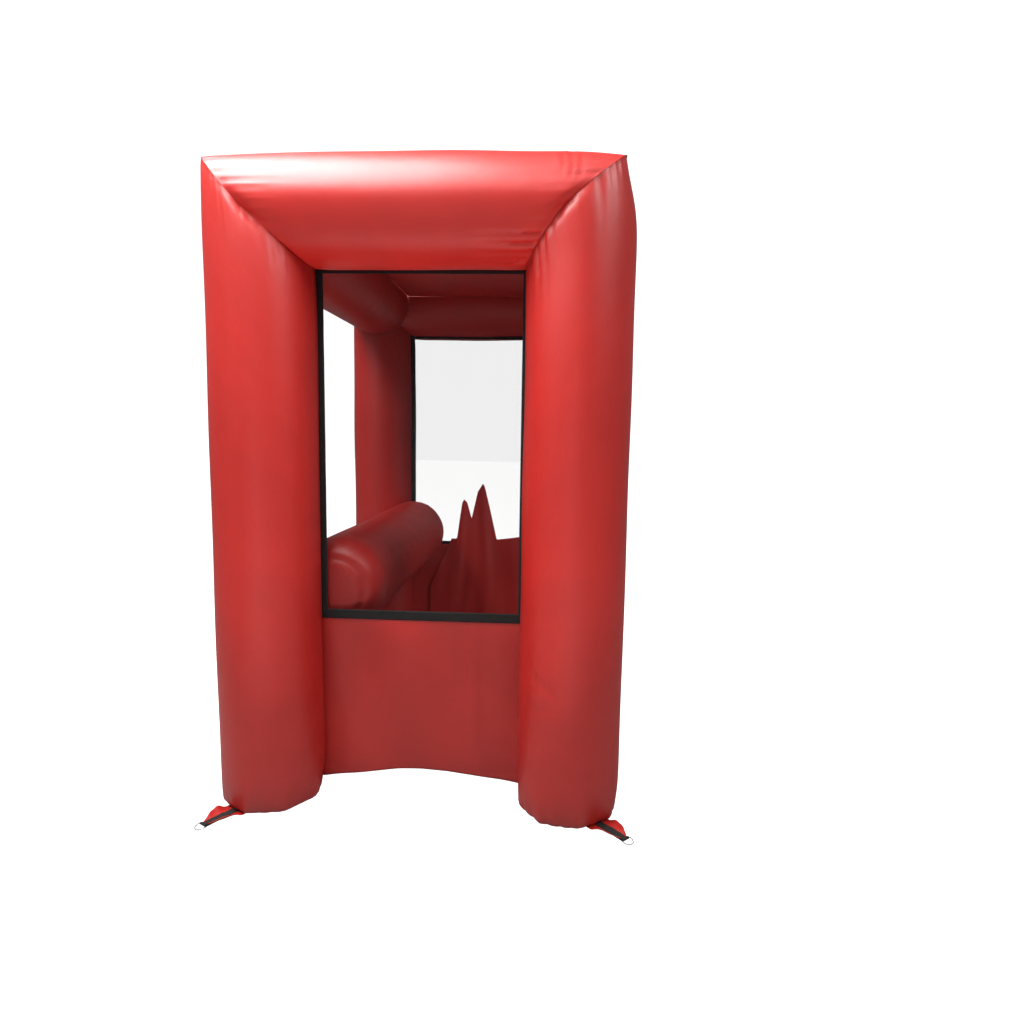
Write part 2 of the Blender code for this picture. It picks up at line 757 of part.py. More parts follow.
def add_motor():
    """The motor, bolted to the right half of the housing, and its shaft through the wheel."""
    start = WHEEL_BACK + 0.006
    end = COLUMN_X + HOUSING_HALF_DEPTH - HOUSING_WALL - GAP
    tip = WHEEL_FRONT - 0.005
    stations = [
        (tip, SHAFT_RADIUS * 0.8),
        (tip + 0.002, SHAFT_RADIUS),
        (start - 0.003, SHAFT_RADIUS),
        (start, MOTOR_RADIUS * 0.5),
        (start + 0.004, MOTOR_RADIUS),
        (end, MOTOR_RADIUS),
    ]

    def at(x):
        return lambda v, w: (x, SCROLL_Y + v, SCROLL_Z + w)

    rings = [round_ring(radius, at(x)) for x, radius in stations]
    add_mesh("motor", loft(rings), "zinc_steel")


def add_handle():
    """The carrying handle: a bent bar that stands on top of the housing."""
    low = SCROLL_Z + HOUSING_RADIUS + 2 * GAP
    rise = [(0.070, 0.0), (0.068, 0.028), (0.052, 0.046)]
    rise = [(-x, z) for x, z in rise] + rise[::-1]
    points = [(COLUMN_X + x, SCROLL_Y, low + z) for x, z in rise]
    wire("carrying_handle", "black_plastic", points, GRIP_RADIUS, False)


def add_feet():
    """Four rubber feet, two under the duct and two under the scroll."""
    top = HOUSING_FLOOR_GAP - GAP
    spots = [(side, y) for side in (-1, 1) for y in (DUCT_FACE + 0.045, SCROLL_Y)]
    for number, (side, y) in enumerate(spots, 1):
        x = COLUMN_X + side * (HOUSING_HALF_DEPTH - 0.030)

        def at(z, x=x, y=y):
            return lambda u, v: (x + u, y + v, z)

        rings = [round_ring(radius, at(z), 16) for radius, z in ((0.019, 0), (0.016, top))]
        add_mesh(f"blower_foot_{number}", loft(rings), "rubber")


def pocket(case, name, face, y, z, deep, size):
    """A square-cornered pocket, sunk into a case's outer face."""
    low = (face - deep, y - size[0] / 2, z - size[1] / 2)
    high = (face + deep, y + size[0] / 2, z + size[1] / 2)
    boolean(case, box(name, "black_plastic", low, high), "DIFFERENCE")


def add_switch_box():
    """The switch box and the mains inlet beside it, with the rocker and the inlet's three pins."""
    wall = COLUMN_X + HOUSING_HALF_DEPTH + GAP
    deep, long, tall = SWITCH_BOX
    face = wall + deep
    y, z = DUCT_FACE + 0.110, HOUSING_FLOOR_GAP + 0.120
    bottom, top = z - tall / 2, z + tall / 2
    case = box("switch_box", "black_plastic", (wall, y - long / 2, bottom), (face, y - GAP, top))
    inlet = box("mains_inlet", "black_plastic", (wall, y + GAP, bottom), (face, y + long / 2, top))
    rocker_y, inlet_y = y - 0.025, y + 0.020
    pocket(case, "rocker_well", face, rocker_y, z, ROCKER_WELL, ROCKER_SIZE)
    pocket(inlet, "inlet_well", face, inlet_y, z, INLET_WELL, INLET_SIZE)

    pivot = face - 0.004
    half_y, half_z = ROCKER_SIZE[0] / 2 - 0.0008, ROCKER_SIZE[1] / 2 - 0.0018
    outline = [
        (pivot - 0.005, z - 0.003),
        (pivot + 0.0035, z - half_z),
        (pivot + 0.0045, z - half_z),
        (pivot + 0.0030, z),
        (pivot + 0.0085, z + half_z - 0.0007),
        (pivot + 0.0050, z + half_z),
        (pivot - 0.005, z + 0.003),
    ]
    ends = (rocker_y - half_y, rocker_y + half_y)
    rocker = plate("rocker", "black_plastic", outline, "Y", *ends)
    put_origin(rocker, (pivot, rocker_y, z))

    floor = face - INLET_WELL + GAP
    spots = ((0, 0.0045), (-0.007, -0.003), (0.007, -0.003))
    for number, (dy, dz) in enumerate(spots, 1):
        low = (floor, inlet_y + dy - 0.001, z + dz - 0.002)
        high = (floor + 0.0157, inlet_y + dy + 0.001, z + dz + 0.002)
        box(f"inlet_pin_{number}", "zinc_steel", low, high)


def main():
    """Builds the booth from its frame outwards, then the blower that feeds it."""
    clear_scene()
    columns = {}
    for end_name in ENDS:
        pair = {side_name: add_column(side_name, end_name) for side_name in SIDES}
        for side_name in SIDES:
            add_anchor(end_name, side_name)
        cut_beam_ports(end_name, pair, add_arch_beam(end_name))
        add_window_wall(end_name)
        columns[end_name] = pair
    for side_name in SIDES:
        add_side_beam(side_name)
    add_roof()
    add_ground_sheet()
    add_intake_sleeve(columns["back"]["right"])
    add_intake_strap()
    add_bolster({end_name: columns[end_name]["left"] for end_name in ENDS})
    add_left_panel()
    add_slack_liner()
    add_deflation_zip()
    add_housing()
    add_collar()
    add_inlet_grille()
    add_impeller()
    add_motor()
    add_handle()
    add_feet()
    add_switch_box()


main()
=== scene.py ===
"""Looks of a walk-in photo booth that stands on air: tarpaulin tubes, clear windows, anchors, blower.

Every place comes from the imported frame. Metres, +Z up, and the front faces -Y.
"""

import json
import logging
import math
from dataclasses import dataclass, field
from enum import Enum
from typing import Callable, Optional, Sequence

import bmesh
import bpy
import numpy as np
from mathutils import Matrix, Vector

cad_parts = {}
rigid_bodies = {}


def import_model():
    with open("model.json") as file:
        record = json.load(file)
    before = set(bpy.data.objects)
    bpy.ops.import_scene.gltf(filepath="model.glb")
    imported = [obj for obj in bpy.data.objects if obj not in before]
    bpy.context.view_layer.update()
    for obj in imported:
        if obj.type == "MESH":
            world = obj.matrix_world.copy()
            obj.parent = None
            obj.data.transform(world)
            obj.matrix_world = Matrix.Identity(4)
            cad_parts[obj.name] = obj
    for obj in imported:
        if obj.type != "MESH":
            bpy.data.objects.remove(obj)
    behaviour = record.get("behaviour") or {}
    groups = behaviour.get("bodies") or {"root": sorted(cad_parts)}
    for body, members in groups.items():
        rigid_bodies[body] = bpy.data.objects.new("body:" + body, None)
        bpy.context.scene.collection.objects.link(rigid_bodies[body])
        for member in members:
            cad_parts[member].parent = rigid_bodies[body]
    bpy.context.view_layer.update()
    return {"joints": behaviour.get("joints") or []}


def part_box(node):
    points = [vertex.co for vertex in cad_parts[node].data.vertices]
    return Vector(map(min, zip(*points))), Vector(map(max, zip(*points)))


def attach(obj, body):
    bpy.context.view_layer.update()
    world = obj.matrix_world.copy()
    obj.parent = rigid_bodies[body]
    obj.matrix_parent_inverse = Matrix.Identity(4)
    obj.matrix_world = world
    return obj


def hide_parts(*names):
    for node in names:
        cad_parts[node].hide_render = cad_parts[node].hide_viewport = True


log = logging.getLogger("booth")

MM = 0.001
BODY = "booth"
FULL_TURN = 2 * math.pi


# Node and colour helpers


def linear(code: str, alpha: float = 1.0) -> tuple[float, float, float, float]:
    """Turns an sRGB hex code into the linear colour that a shader takes.

    Args:
        code: Six hex digits after a hash sign.
        alpha: The fourth value.

    Returns:
        Red, green, blue and alpha.
    """
    parts = [int(code[i : i + 2], 16) / 255 for i in (1, 3, 5)]
    values = [p / 12.92 if p <= 0.04045 else ((p + 0.055) / 1.055) ** 2.4 for p in parts]
    return (*values, alpha)


def add_node(
    tree: bpy.types.NodeTree,
    kind: str,
    settings: Optional[dict] = None,
    links: Optional[dict] = None,
    **choices: object,
) -> bpy.types.Node:
    """Adds a node with its settings and links.

    Args:
        tree: The material's node tree.
        kind: Blender's name for the node type.
        settings: Values by input socket.
        links: Output sockets by input socket.
        choices: Properties of the node itself.

    Returns:
        The new node.
    """
    node = tree.nodes.new(kind)
    for name, value in choices.items():
        setattr(node, name, value)
    for socket, value in (settings or {}).items():
        node.inputs[socket].default_value = value
    for socket, source in (links or {}).items():
        tree.links.new(source, node.inputs[socket])
    return node


class Layout(Enum):
    """Which coordinates a pattern follows, in metres either way."""

    CLOTH = "UV"
    SOLID = "Object"


@dataclass(frozen=True)
class Finish:
    """A finish: its name, colours and gloss. Subclasses add the pattern that its making leaves."""

    name: str
    colour: str
    shade: str
    slot: str
    roughness: float = 0.5
    ior: float = 1.5
    layout: Layout = Layout.CLOTH

    def material(self) -> bpy.types.Material:
        """The finish's material, made on its first use."""
        title = f"{self.name}_{self.layout.name.lower()}"
        found = bpy.data.materials.get(title)
        if found:
            return found
        made = bpy.data.materials.new(title)
        made.use_nodes = True
        tree = made.node_tree
        tree.nodes.clear()
        shader = add_node(tree, "ShaderNodeBsdfPrincipled")
        shader.inputs["Roughness"].default_value = self.roughness
        shader.inputs["IOR"].default_value = self.ior
        add_node(tree, "ShaderNodeOutputMaterial", links={"Surface": shader.outputs["BSDF"]})
        place = add_node(tree, "ShaderNodeTexCoord").outputs[self.layout.value]
        self.paint(tree, shader, place)
        return made

    def paint(self, tree: bpy.types.NodeTree, shader: bpy.types.Node, place: object) -> None:
        """Adds the pattern. A plain finish varies gently between its two colours."""
        self.vary(tree, shader, place, 0.12)

    def vary(
        self, tree: bpy.types.NodeTree, shader: bpy.types.Node, place: object, size: float
    ) -> bpy.types.Node:
        """Drifts the colour between the two tones.

        Args:
            tree: The material's node tree.
            shader: The node that takes the colour.
            place: The coordinates' output socket.
            size: How wide one patch of tone is, in metres.

        Returns:
            The node that holds the colour.
        """
        cloud = add_node(
            tree,
            "ShaderNodeTexNoise",
            {"Scale": 1 / size, "Detail": 4.0, "Roughness": 0.55},
            {"Vector": place},
        )
        tone = add_node(tree, "ShaderNodeValToRGB", links={"Fac": cloud.outputs["Fac"]})
        tone.color_ramp.elements[0].position = 0.3
        tone.color_ramp.elements[0].color = linear(self.shade)
        tone.color_ramp.elements[1].position = 0.7
        tone.color_ramp.elements[1].color = linear(self.colour)
        tree.links.new(tone.outputs["Color"], shader.inputs["Base Color"])
        return tone


@dataclass(frozen=True)
class Tarpaulin(Finish):
    """Polyester scrim knife-coated with soft vinyl: a lacquered, faintly ribbed skin."""

    thread: float = 2.4 * MM
    crinkle: float = 55 * MM
    rib_depth: float = 0.10 * MM
    crinkle_depth: float = 1.1 * MM

    def paint(self, tree: bpy.types.NodeTree, shader: bpy.types.Node, place: object) -> None:
        """Adds scrim ribs, a soft crinkle, floor dirt and painted shade at welded seams.

        The scrim's threads are 1.1 mm apart, and are drawn about twice as coarse so that they show.
        """
        tone = self.vary(tree, shader, place, 0.35)
        # Painted shade along welded seams, and floor dirt near the feet, come from a vertex attribute
        # that darkens the colour towards a deep red
        soil = add_node(tree, "ShaderNodeAttribute", attribute_name="soil")
        smudge = add_node(
            tree, "ShaderNodeTexNoise", {"Scale": 14.0, "Detail": 6.0}, {"Vector": place}
        )
        dirt_and_shade_mask = add_node(
            tree,
            "ShaderNodeMath",
            links={0: soil.outputs["Fac"], 1: smudge.outputs["Fac"]},
            operation="MULTIPLY",
        )
        # A colour mix's sockets share their names with the number mix's, so they go by place
        dirtied_and_shaded = add_node(
            tree,
            "ShaderNodeMix",
            {7: linear("#5A2420")},
            {0: dirt_and_shade_mask.outputs["Value"], 6: tone.outputs["Color"]},
            data_type="RGBA",
        )
        tree.links.new(dirtied_and_shaded.outputs[2], shader.inputs["Base Color"])
        gloss = add_node(
            tree,
            "ShaderNodeMapRange",
            {"To Min": self.roughness - 0.06, "To Max": self.roughness + 0.08},
            {"Value": smudge.outputs["Fac"]},
        )
        tree.links.new(gloss.outputs["Result"], shader.inputs["Roughness"])
        shader.inputs["Coat Weight"].default_value = 0.06
        shader.inputs["Coat Roughness"].default_value = 0.30
        ribs = []
        for direction in ("X", "Y"):
            wave = add_node(
                tree,
                "ShaderNodeTexWave",
                {"Scale": FULL_TURN / 20 / self.thread},
                {"Vector": place},
                bands_direction=direction,
            )
            ribs.append(wave.outputs["Fac"])
        weave = add_node(
            tree, "ShaderNodeMath", links={0: ribs[0], 1: ribs[1]}, operation="MAXIMUM"
        )
        fine = add_node(
            tree,
            "ShaderNodeBump",
            {"Strength": 0.5, "Distance": self.rib_depth},
            {"Height": weave.outputs["Value"]},
        )
        folds = add_node(
            tree,
            "ShaderNodeTexNoise",
            {"Scale": 1 / self.crinkle, "Detail": 3.0, "Roughness": 0.45, "Distortion": 0.6},
            {"Vector": place},
        )
        soft = add_node(
            tree,
            "ShaderNodeBump",
            {"Strength": 0.6, "Distance": self.crinkle_depth},
            {"Height": folds.outputs["Fac"], "Normal": fine.outputs["Normal"]},
        )
        tree.links.new(soft.outputs["Normal"], shader.inputs["Normal"])


@dataclass(frozen=True)
class ClearVinyl(Finish):
    """Calendered clear vinyl: glassy, a little wavy, and a touch greyer at a glancing look."""

    cover: float = 0.10

    def paint(self, tree: bpy.types.NodeTree, shader: bpy.types.Node, place: object) -> None:
        """Adds the rollers' slow waves and keeps the film nearly clear."""
        shader.inputs["Base Color"].default_value = linear(self.colour)
        shader.inputs["Alpha"].default_value = self.cover
        shader.inputs["Specular IOR Level"].default_value = 0.16
        waves = add_node(
            tree, "ShaderNodeTexNoise", {"Scale": 9.0, "Detail": 1.0}, {"Vector": place}
        )
        bump = add_node(
            tree,
            "ShaderNodeBump",
            {"Strength": 0.15, "Distance": 2 * MM},
            {"Height": waves.outputs["Fac"]},
        )
        tree.links.new(bump.outputs["Normal"], shader.inputs["Normal"])


@dataclass(frozen=True)
class Webbing(Finish):
    """Woven polypropylene tape: cross ribs with a diagonal twill, matt with a faint sheen."""

    rib: float = 2.2 * MM
    depth: float = 0.5 * MM

    def paint(self, tree: bpy.types.NodeTree, shader: bpy.types.Node, place: object) -> None:
        """Adds the ribs and the twill. The real picks are 1.4 mm apart and are drawn wider."""
        self.vary(tree, shader, place, 0.02)
        shader.inputs["Sheen Weight"].default_value = 0.06
        shader.inputs["Sheen Roughness"].default_value = 0.45
        ribs = []
        for direction in ("X", "DIAGONAL"):
            wave = add_node(
                tree,
                "ShaderNodeTexWave",
                {"Scale": FULL_TURN / 20 / self.rib, "Distortion": 0.4},
                {"Vector": place},
                bands_direction=direction,
            )
            ribs.append(wave.outputs["Fac"])
        twill = add_node(
            tree, "ShaderNodeMath", links={0: ribs[0], 1: ribs[1]}, operation="MULTIPLY"
        )
        bump = add_node(
            tree,
            "ShaderNodeBump",
            {"Strength": 0.8, "Distance": self.depth},
            {"Height": twill.outputs["Value"]},
        )
        tree.links.new(bump.outputs["Normal"], shader.inputs["Normal"])


@dataclass(frozen=True)
class Moulded(Finish):
    """Injection-moulded plastic or rubber: a spark-eroded grain that breaks up the gloss."""

    grain: float = 0.8 * MM
    depth: float = 0.08 * MM

    def paint(self, tree: bpy.types.NodeTree, shader: bpy.types.Node, place: object) -> None:
        """Adds the mould's grain and slight scuffs."""
        self.vary(tree, shader, place, 0.05)
        scuff = add_node(
            tree, "ShaderNodeTexNoise", {"Scale": 30.0, "Detail": 5.0}, {"Vector": place}
        )
        gloss = add_node(
            tree,
            "ShaderNodeMapRange",
            {"To Min": self.roughness - 0.08, "To Max": self.roughness + 0.12},
            {"Value": scuff.outputs["Fac"]},
        )
        tree.links.new(gloss.outputs["Result"], shader.inputs["Roughness"])
        grain = add_node(
            tree, "ShaderNodeTexNoise", {"Scale": 1 / self.grain, "Detail": 2.0}, {"Vector": place}
        )
        bump = add_node(
            tree,
            "ShaderNodeBump",
            {"Strength": 0.6, "Distance": self.depth},
            {"Height": grain.outputs["Fac"]},
        )
        tree.links.new(bump.outputs["Normal"], shader.inputs["Normal"])


@dataclass(frozen=True)
class Plated(Finish):
    """Zinc-plated steel: a cool grey metal with cloudy gloss."""

    def paint(self, tree: bpy.types.NodeTree, shader: bpy.types.Node, place: object) -> None:
        """Adds the plating's cloudy gloss."""
        self.vary(tree, shader, place, 0.01)
        shader.inputs["Metallic"].default_value = 1.0
        cloud = add_node(
            tree, "ShaderNodeTexNoise", {"Scale": 160.0, "Detail": 4.0}, {"Vector": place}
        )
        gloss = add_node(
            tree,
            "ShaderNodeMapRange",
            {"To Min": self.roughness - 0.1, "To Max": self.roughness + 0.12},
            {"Value": cloud.outputs["Fac"]},
        )
        tree.links.new(gloss.outputs["Result"], shader.inputs["Roughness"])


@dataclass(frozen=True)
class Finishes:
    """Every finish of the booth."""

    tarpaulin: Finish = Tarpaulin(
        "vinyl_coated_polyester", "#B9241E", "#A9201B", "red_tarpaulin", 0.44, 1.53
    )
    film: Finish = ClearVinyl(
        "calendered_clear_vinyl", "#1E2224", "#343A3C", "clear_film", 0.05, 1.53
    )
    tape: Finish = Webbing(
        "woven_polypropylene", "#131112", "#0B090A", "black_webbing", 0.75, 1.49
    )
    thread: Finish = Moulded(
        "bonded_polyester_thread", "#2A2627", "#1C191A", "black_webbing", 0.6, 1.55
    )
    zinc: Finish = Plated(
        "zinc_plated_steel", "#5E6265", "#4A4E51", "zinc_steel", 0.42, layout=Layout.SOLID
    )
    housing: Finish = Moulded(
        name="moulded_polyethylene_blue",
        colour="#22406E",
        shade="#1D3860",
        slot="blower_plastic",
        roughness=0.42,
        ior=1.52,
        layout=Layout.SOLID,
    )
    dark: Finish = Moulded(
        name="moulded_polypropylene_black",
        colour="#1B1C1D",
        shade="#141516",
        slot="black_plastic",
        roughness=0.5,
        ior=1.49,
        layout=Layout.SOLID,
    )
    rubber: Finish = Moulded(
        "moulded_rubber", "#171616", "#0F0F0F", "rubber_foot", 0.8, 1.52, Layout.SOLID
    )

    def solid(self, finish: Finish) -> Finish:
        """The same finish with its pattern in object coordinates, for a piece with no cloth map."""
        values = {name: getattr(finish, name) for name in finish.__dataclass_fields__}
        return type(finish)(**{**values, "layout": Layout.SOLID})


FINISHES = Finishes()


# Mesh helpers


def dress(piece: bpy.types.Object, finish: Finish) -> bpy.types.Object:
    """Puts one finish on a piece.

    Args:
        piece: The mesh object.
        finish: Its finish.

    Returns:
        The same piece.
    """
    piece.data.materials.clear()
    piece.data.materials.append(finish.material())
    return piece


def settle(piece: bpy.types.Object, *nodes: str) -> bpy.types.Object:
    """Makes a piece ride on the booth and stand for these frame nodes."""
    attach(piece, BODY)
    if nodes:
        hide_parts(*nodes)
    log.info("%s: %d faces", piece.name, len(piece.data.polygons))
    return piece


def periodic(angle: np.ndarray, low: int, high: int, seed: int) -> np.ndarray:
    """A random wave round a tube that meets itself.

    Args:
        angle: Angles round the tube.
        low: The fewest waves in a turn.
        high: The most waves in a turn.
        seed: Picks the wave.

    Returns:
        Values of about -1 to 1.
    """
    rng = np.random.default_rng(seed)
    total = np.zeros_like(angle)
    for count in range(low, high + 1):
        total += rng.normal() * np.cos(count * angle + rng.uniform(0, FULL_TURN))
    return total / math.sqrt((high - low + 1) / 2) / 1.6


def swell(points: np.ndarray, wavelength: float, seed: int, count: int = 14) -> np.ndarray:
    """A soft random relief through space.

    Args:
        points: Positions, the last axis holding X, Y and Z.
        wavelength: The typical distance from crest to crest.
        seed: Picks the relief.
        count: How many plane waves are summed.

    Returns:
        Values of about -1 to 1, one for each point.
    """
    rng = np.random.default_rng(seed)
    total = np.zeros(points.shape[:-1])
    for _ in range(count):
        way = rng.normal(size=3)
        way *= FULL_TURN / wavelength * rng.uniform(0.6, 1.4) / np.linalg.norm(way)
        total += np.cos(points @ way + rng.uniform(0, FULL_TURN))
    return total / math.sqrt(count / 2) / 1.6


def smooth_step(value: np.ndarray, low: float, high: float) -> np.ndarray:
    """Rises smoothly from 0 at low to 1 at high."""
    share = np.clip((value - low) / (high - low), 0, 1)
    return share * share * (3 - 2 * share)


def stations(length: float, start: float, end: float, fine: float, coarse: float) -> np.ndarray:
    """Places along a tube, close together near its two ends.

    Args:
        length: The tube's length.
        start: How long the fine stretch at the start is.
        end: How long the fine stretch at the end is.
        fine: The spacing in those stretches.
        coarse: The spacing between them.

    Returns:
        Distances from 0 to length.
    """
    first = np.linspace(0, start, max(2, round(start / fine) + 1))
    middle = np.linspace(start, length - end, max(2, round((length - start - end) / coarse) + 1))
    last = np.linspace(length - end, length, max(2, round(end / fine) + 1))
    return np.concatenate([first, middle[1:], last[1:]])


def grid_piece(
    name: str,
    grid: np.ndarray,
    across: np.ndarray,
    along: np.ndarray,
    wrap: bool = False,
    caps: bool = False,
    soil: Optional[np.ndarray] = None,
) -> bpy.types.Object:
    """Makes an object from a grid of points, with a cloth map in metres.

    Args:
        name: The piece's name.
        grid: Points by row and column.
        across: The cloth map's first value at each column, one more column when it wraps.
        along: The cloth map's second value at each row.
        wrap: Whether the columns close into a tube.
        caps: Whether each end of the tube is closed.
        soil: How much floor dirt and painted seam shade each point gets, from 0 to 1.

    Returns:
        The new object, smooth shaded.
    """
    rows, columns = grid.shape[:2]
    points = grid.reshape(-1, 3).tolist()
    reach = columns if wrap else columns - 1
    faces, corners = [], []
    for i in range(rows - 1):
        for j in range(reach):
            k = (j + 1) % columns
            a, b = i * columns, (i + 1) * columns
            faces.append((a + j, a + k, b + k, b + j))
            u, v, w, x = across[j], across[j + 1], along[i], along[i + 1]
            corners += [(u, w), (v, w), (v, x), (u, x)]
    if caps:
        for row, turn in ((0, 1), (rows - 1, -1)):
            centre = len(points)
            points.append(grid[row].mean(axis=0).tolist())
            for j in range(columns):
                k = (j + 1) % columns
                ring = (row * columns + k, row * columns + j)[::turn]
                faces.append((*ring, centre))
                ends = [(across[j + 1], 0.0), (across[j], 0.0)][::turn]
                corners += [*ends, (across[j], 0.1)]
    mesh = bpy.data.meshes.new(name)
    mesh.from_pydata(points, [], faces)
    layer = mesh.uv_layers.new(name="cloth")
    layer.data.foreach_set("uv", np.array(corners, np.float32).ravel())
    values = np.zeros(len(points), np.float32)
    if soil is not None:
        values[: rows * columns] = soil.ravel()
    mesh.attributes.new("soil", "FLOAT", "POINT").data.foreach_set("value", values)
    mesh.shade_smooth()
    made = bpy.data.objects.new(name, mesh)
    bpy.context.scene.collection.objects.link(made)
    return made


def face_out(piece: bpy.types.Object, sharp: float = 50) -> bpy.types.Object:
    """Turns a closed piece's faces outwards and keeps edges sharper than this angle crisp."""
    work = bmesh.new()
    work.from_mesh(piece.data)
    bmesh.ops.recalc_face_normals(work, faces=work.faces)
    work.to_mesh(piece.data)
    work.free()
    piece.data.set_sharp_from_angle(angle=math.radians(sharp))
    return piece


def thicken(piece: bpy.types.Object, thickness: float, offset: float = 0.0) -> bpy.types.Object:
    """Gives a sheet its thickness."""
    step = piece.modifiers.new("thickness", "SOLIDIFY")
    step.thickness = thickness
    step.offset = offset
    return piece


def levels(node: str, axis: int) -> list[float]:
    """The distinct places of a frame node's corners along one axis, lowest first."""
    mesh = bpy.data.objects[node].data
    return sorted({round(vertex.co[axis], 4) for vertex in mesh.vertices})


def hem_of(node: str, axis: int) -> Callable[[np.ndarray], np.ndarray]:
    """The lower edge of a frame panel.

    Args:
        node: The frame node.
        axis: The axis that runs along the edge.

    Returns:
        A function from places along the edge to heights.
    """
    lowest: dict[float, float] = {}
    for vertex in bpy.data.objects[node].data.vertices:
        place = round(vertex.co[axis], 4)
        lowest[place] = min(lowest.get(place, 9.0), vertex.co.z)
    places = sorted(lowest)
    return lambda values: np.interp(values, places, [lowest[p] for p in places])


# The inflated frame


@dataclass(frozen=True)
class Puckers:
    """Short folds that run away from a welded end, where the cloth is gathered into the seam."""

    least: int = 9
    most: int = 30
    depth: float = 5.5 * MM
    reach: float = 0.085
    pinch: float = 5 * MM
    pinch_reach: float = 0.028
    seed: int = 1

    def relief(self, angle: np.ndarray, away: np.ndarray) -> np.ndarray:
        """How far the skin stands off its plain round.

        Args:
            angle: Angles round the tube.
            away: Distances from the seam.

        Returns:
            Offsets along the radius.
        """
        wander = 0.35 * periodic(angle, 2, 5, self.seed + 7)
        wave = periodic(angle + wander * away, self.least, self.most, self.seed)
        valley = np.exp(-((wave / 0.30) ** 2))
        patch = 0.35 + 0.65 * smooth_step(periodic(angle, 1, 4, self.seed + 3), -0.5, 0.6)
        length = self.reach * (0.55 + 0.9 * smooth_step(periodic(angle, 2, 6, self.seed + 5), -1, 1))
        fade = (1 - np.exp(-away / 0.006)) * np.exp(-((away / length) ** 1.4))
        pinch = self.pinch * np.exp(-away / self.pinch_reach)
        return -self.depth * valley * patch * fade - pinch


@dataclass(frozen=True)
class SeamPull:
    """How a corner's seam is drawn off its true mitre by the cloth's tension.

    Each pair is a shift along X and Z: one of the outer tip, one of the middle of the near side.
    """

    tip: tuple[float, float] = (-18 * MM, -16 * MM)
    middle: tuple[float, float] = (0.0, 0.0)
    tip_spread: float = 38.0
    middle_at: float = 100.0
    middle_spread: float = 42.0
    reach: float = 0.13
    tip_reach: float = 0.16

    def shift(self, turned: np.ndarray, away: np.ndarray) -> tuple[np.ndarray, np.ndarray]:
        """The seam's shift, which dies out along the tube.

        Args:
            turned: Degrees round the tube from its outermost line.
            away: Distances from the seam.

        Returns:
            The shifts along X and Z.
        """
        tip = np.exp(-((turned / self.tip_spread) ** 2)) * np.exp(-((away / self.tip_reach) ** 2))
        off = np.abs(turned - self.middle_at) / self.middle_spread
        middle = np.exp(-(off**1.3)) * np.exp(-((away / self.reach / 0.8) ** 1.5))
        return tuple(self.tip[i] * tip + self.middle[i] * middle for i in (0, 1))


@dataclass(frozen=True)
class Crease:
    """One shallow fold on a tube, from point to point in angle and height."""

    start: tuple[float, float]
    end: tuple[float, float]
    depth: float
    width: float

    def relief(self, angle: np.ndarray, height: np.ndarray, radius: float) -> np.ndarray:
        """A valley with a soft ridge beside it.

        Args:
            angle: Angles round the tube, in degrees.
            height: Heights.
            radius: The tube's radius.

        Returns:
            Offsets along the radius.
        """
        scale = math.radians(1) * radius
        ax, ay = self.start[0] * scale, self.start[1]
        bx, by = self.end[0] * scale, self.end[1]
        length = math.hypot(bx - ax, by - ay)
        ux, uy = (bx - ax) / length, (by - ay) / length
        dx, dy = angle * scale - ax, height - ay
        along = (dx * ux + dy * uy) / length
        side = (dy * ux - dx * uy) / self.width
        fade = smooth_step(along, -0.15, 0.25) * (1 - smooth_step(along, 0.7, 1.15))
        return self.depth * fade * (0.6 * np.exp(-((side - 1.3) ** 2)) - np.exp(-(side**2)))


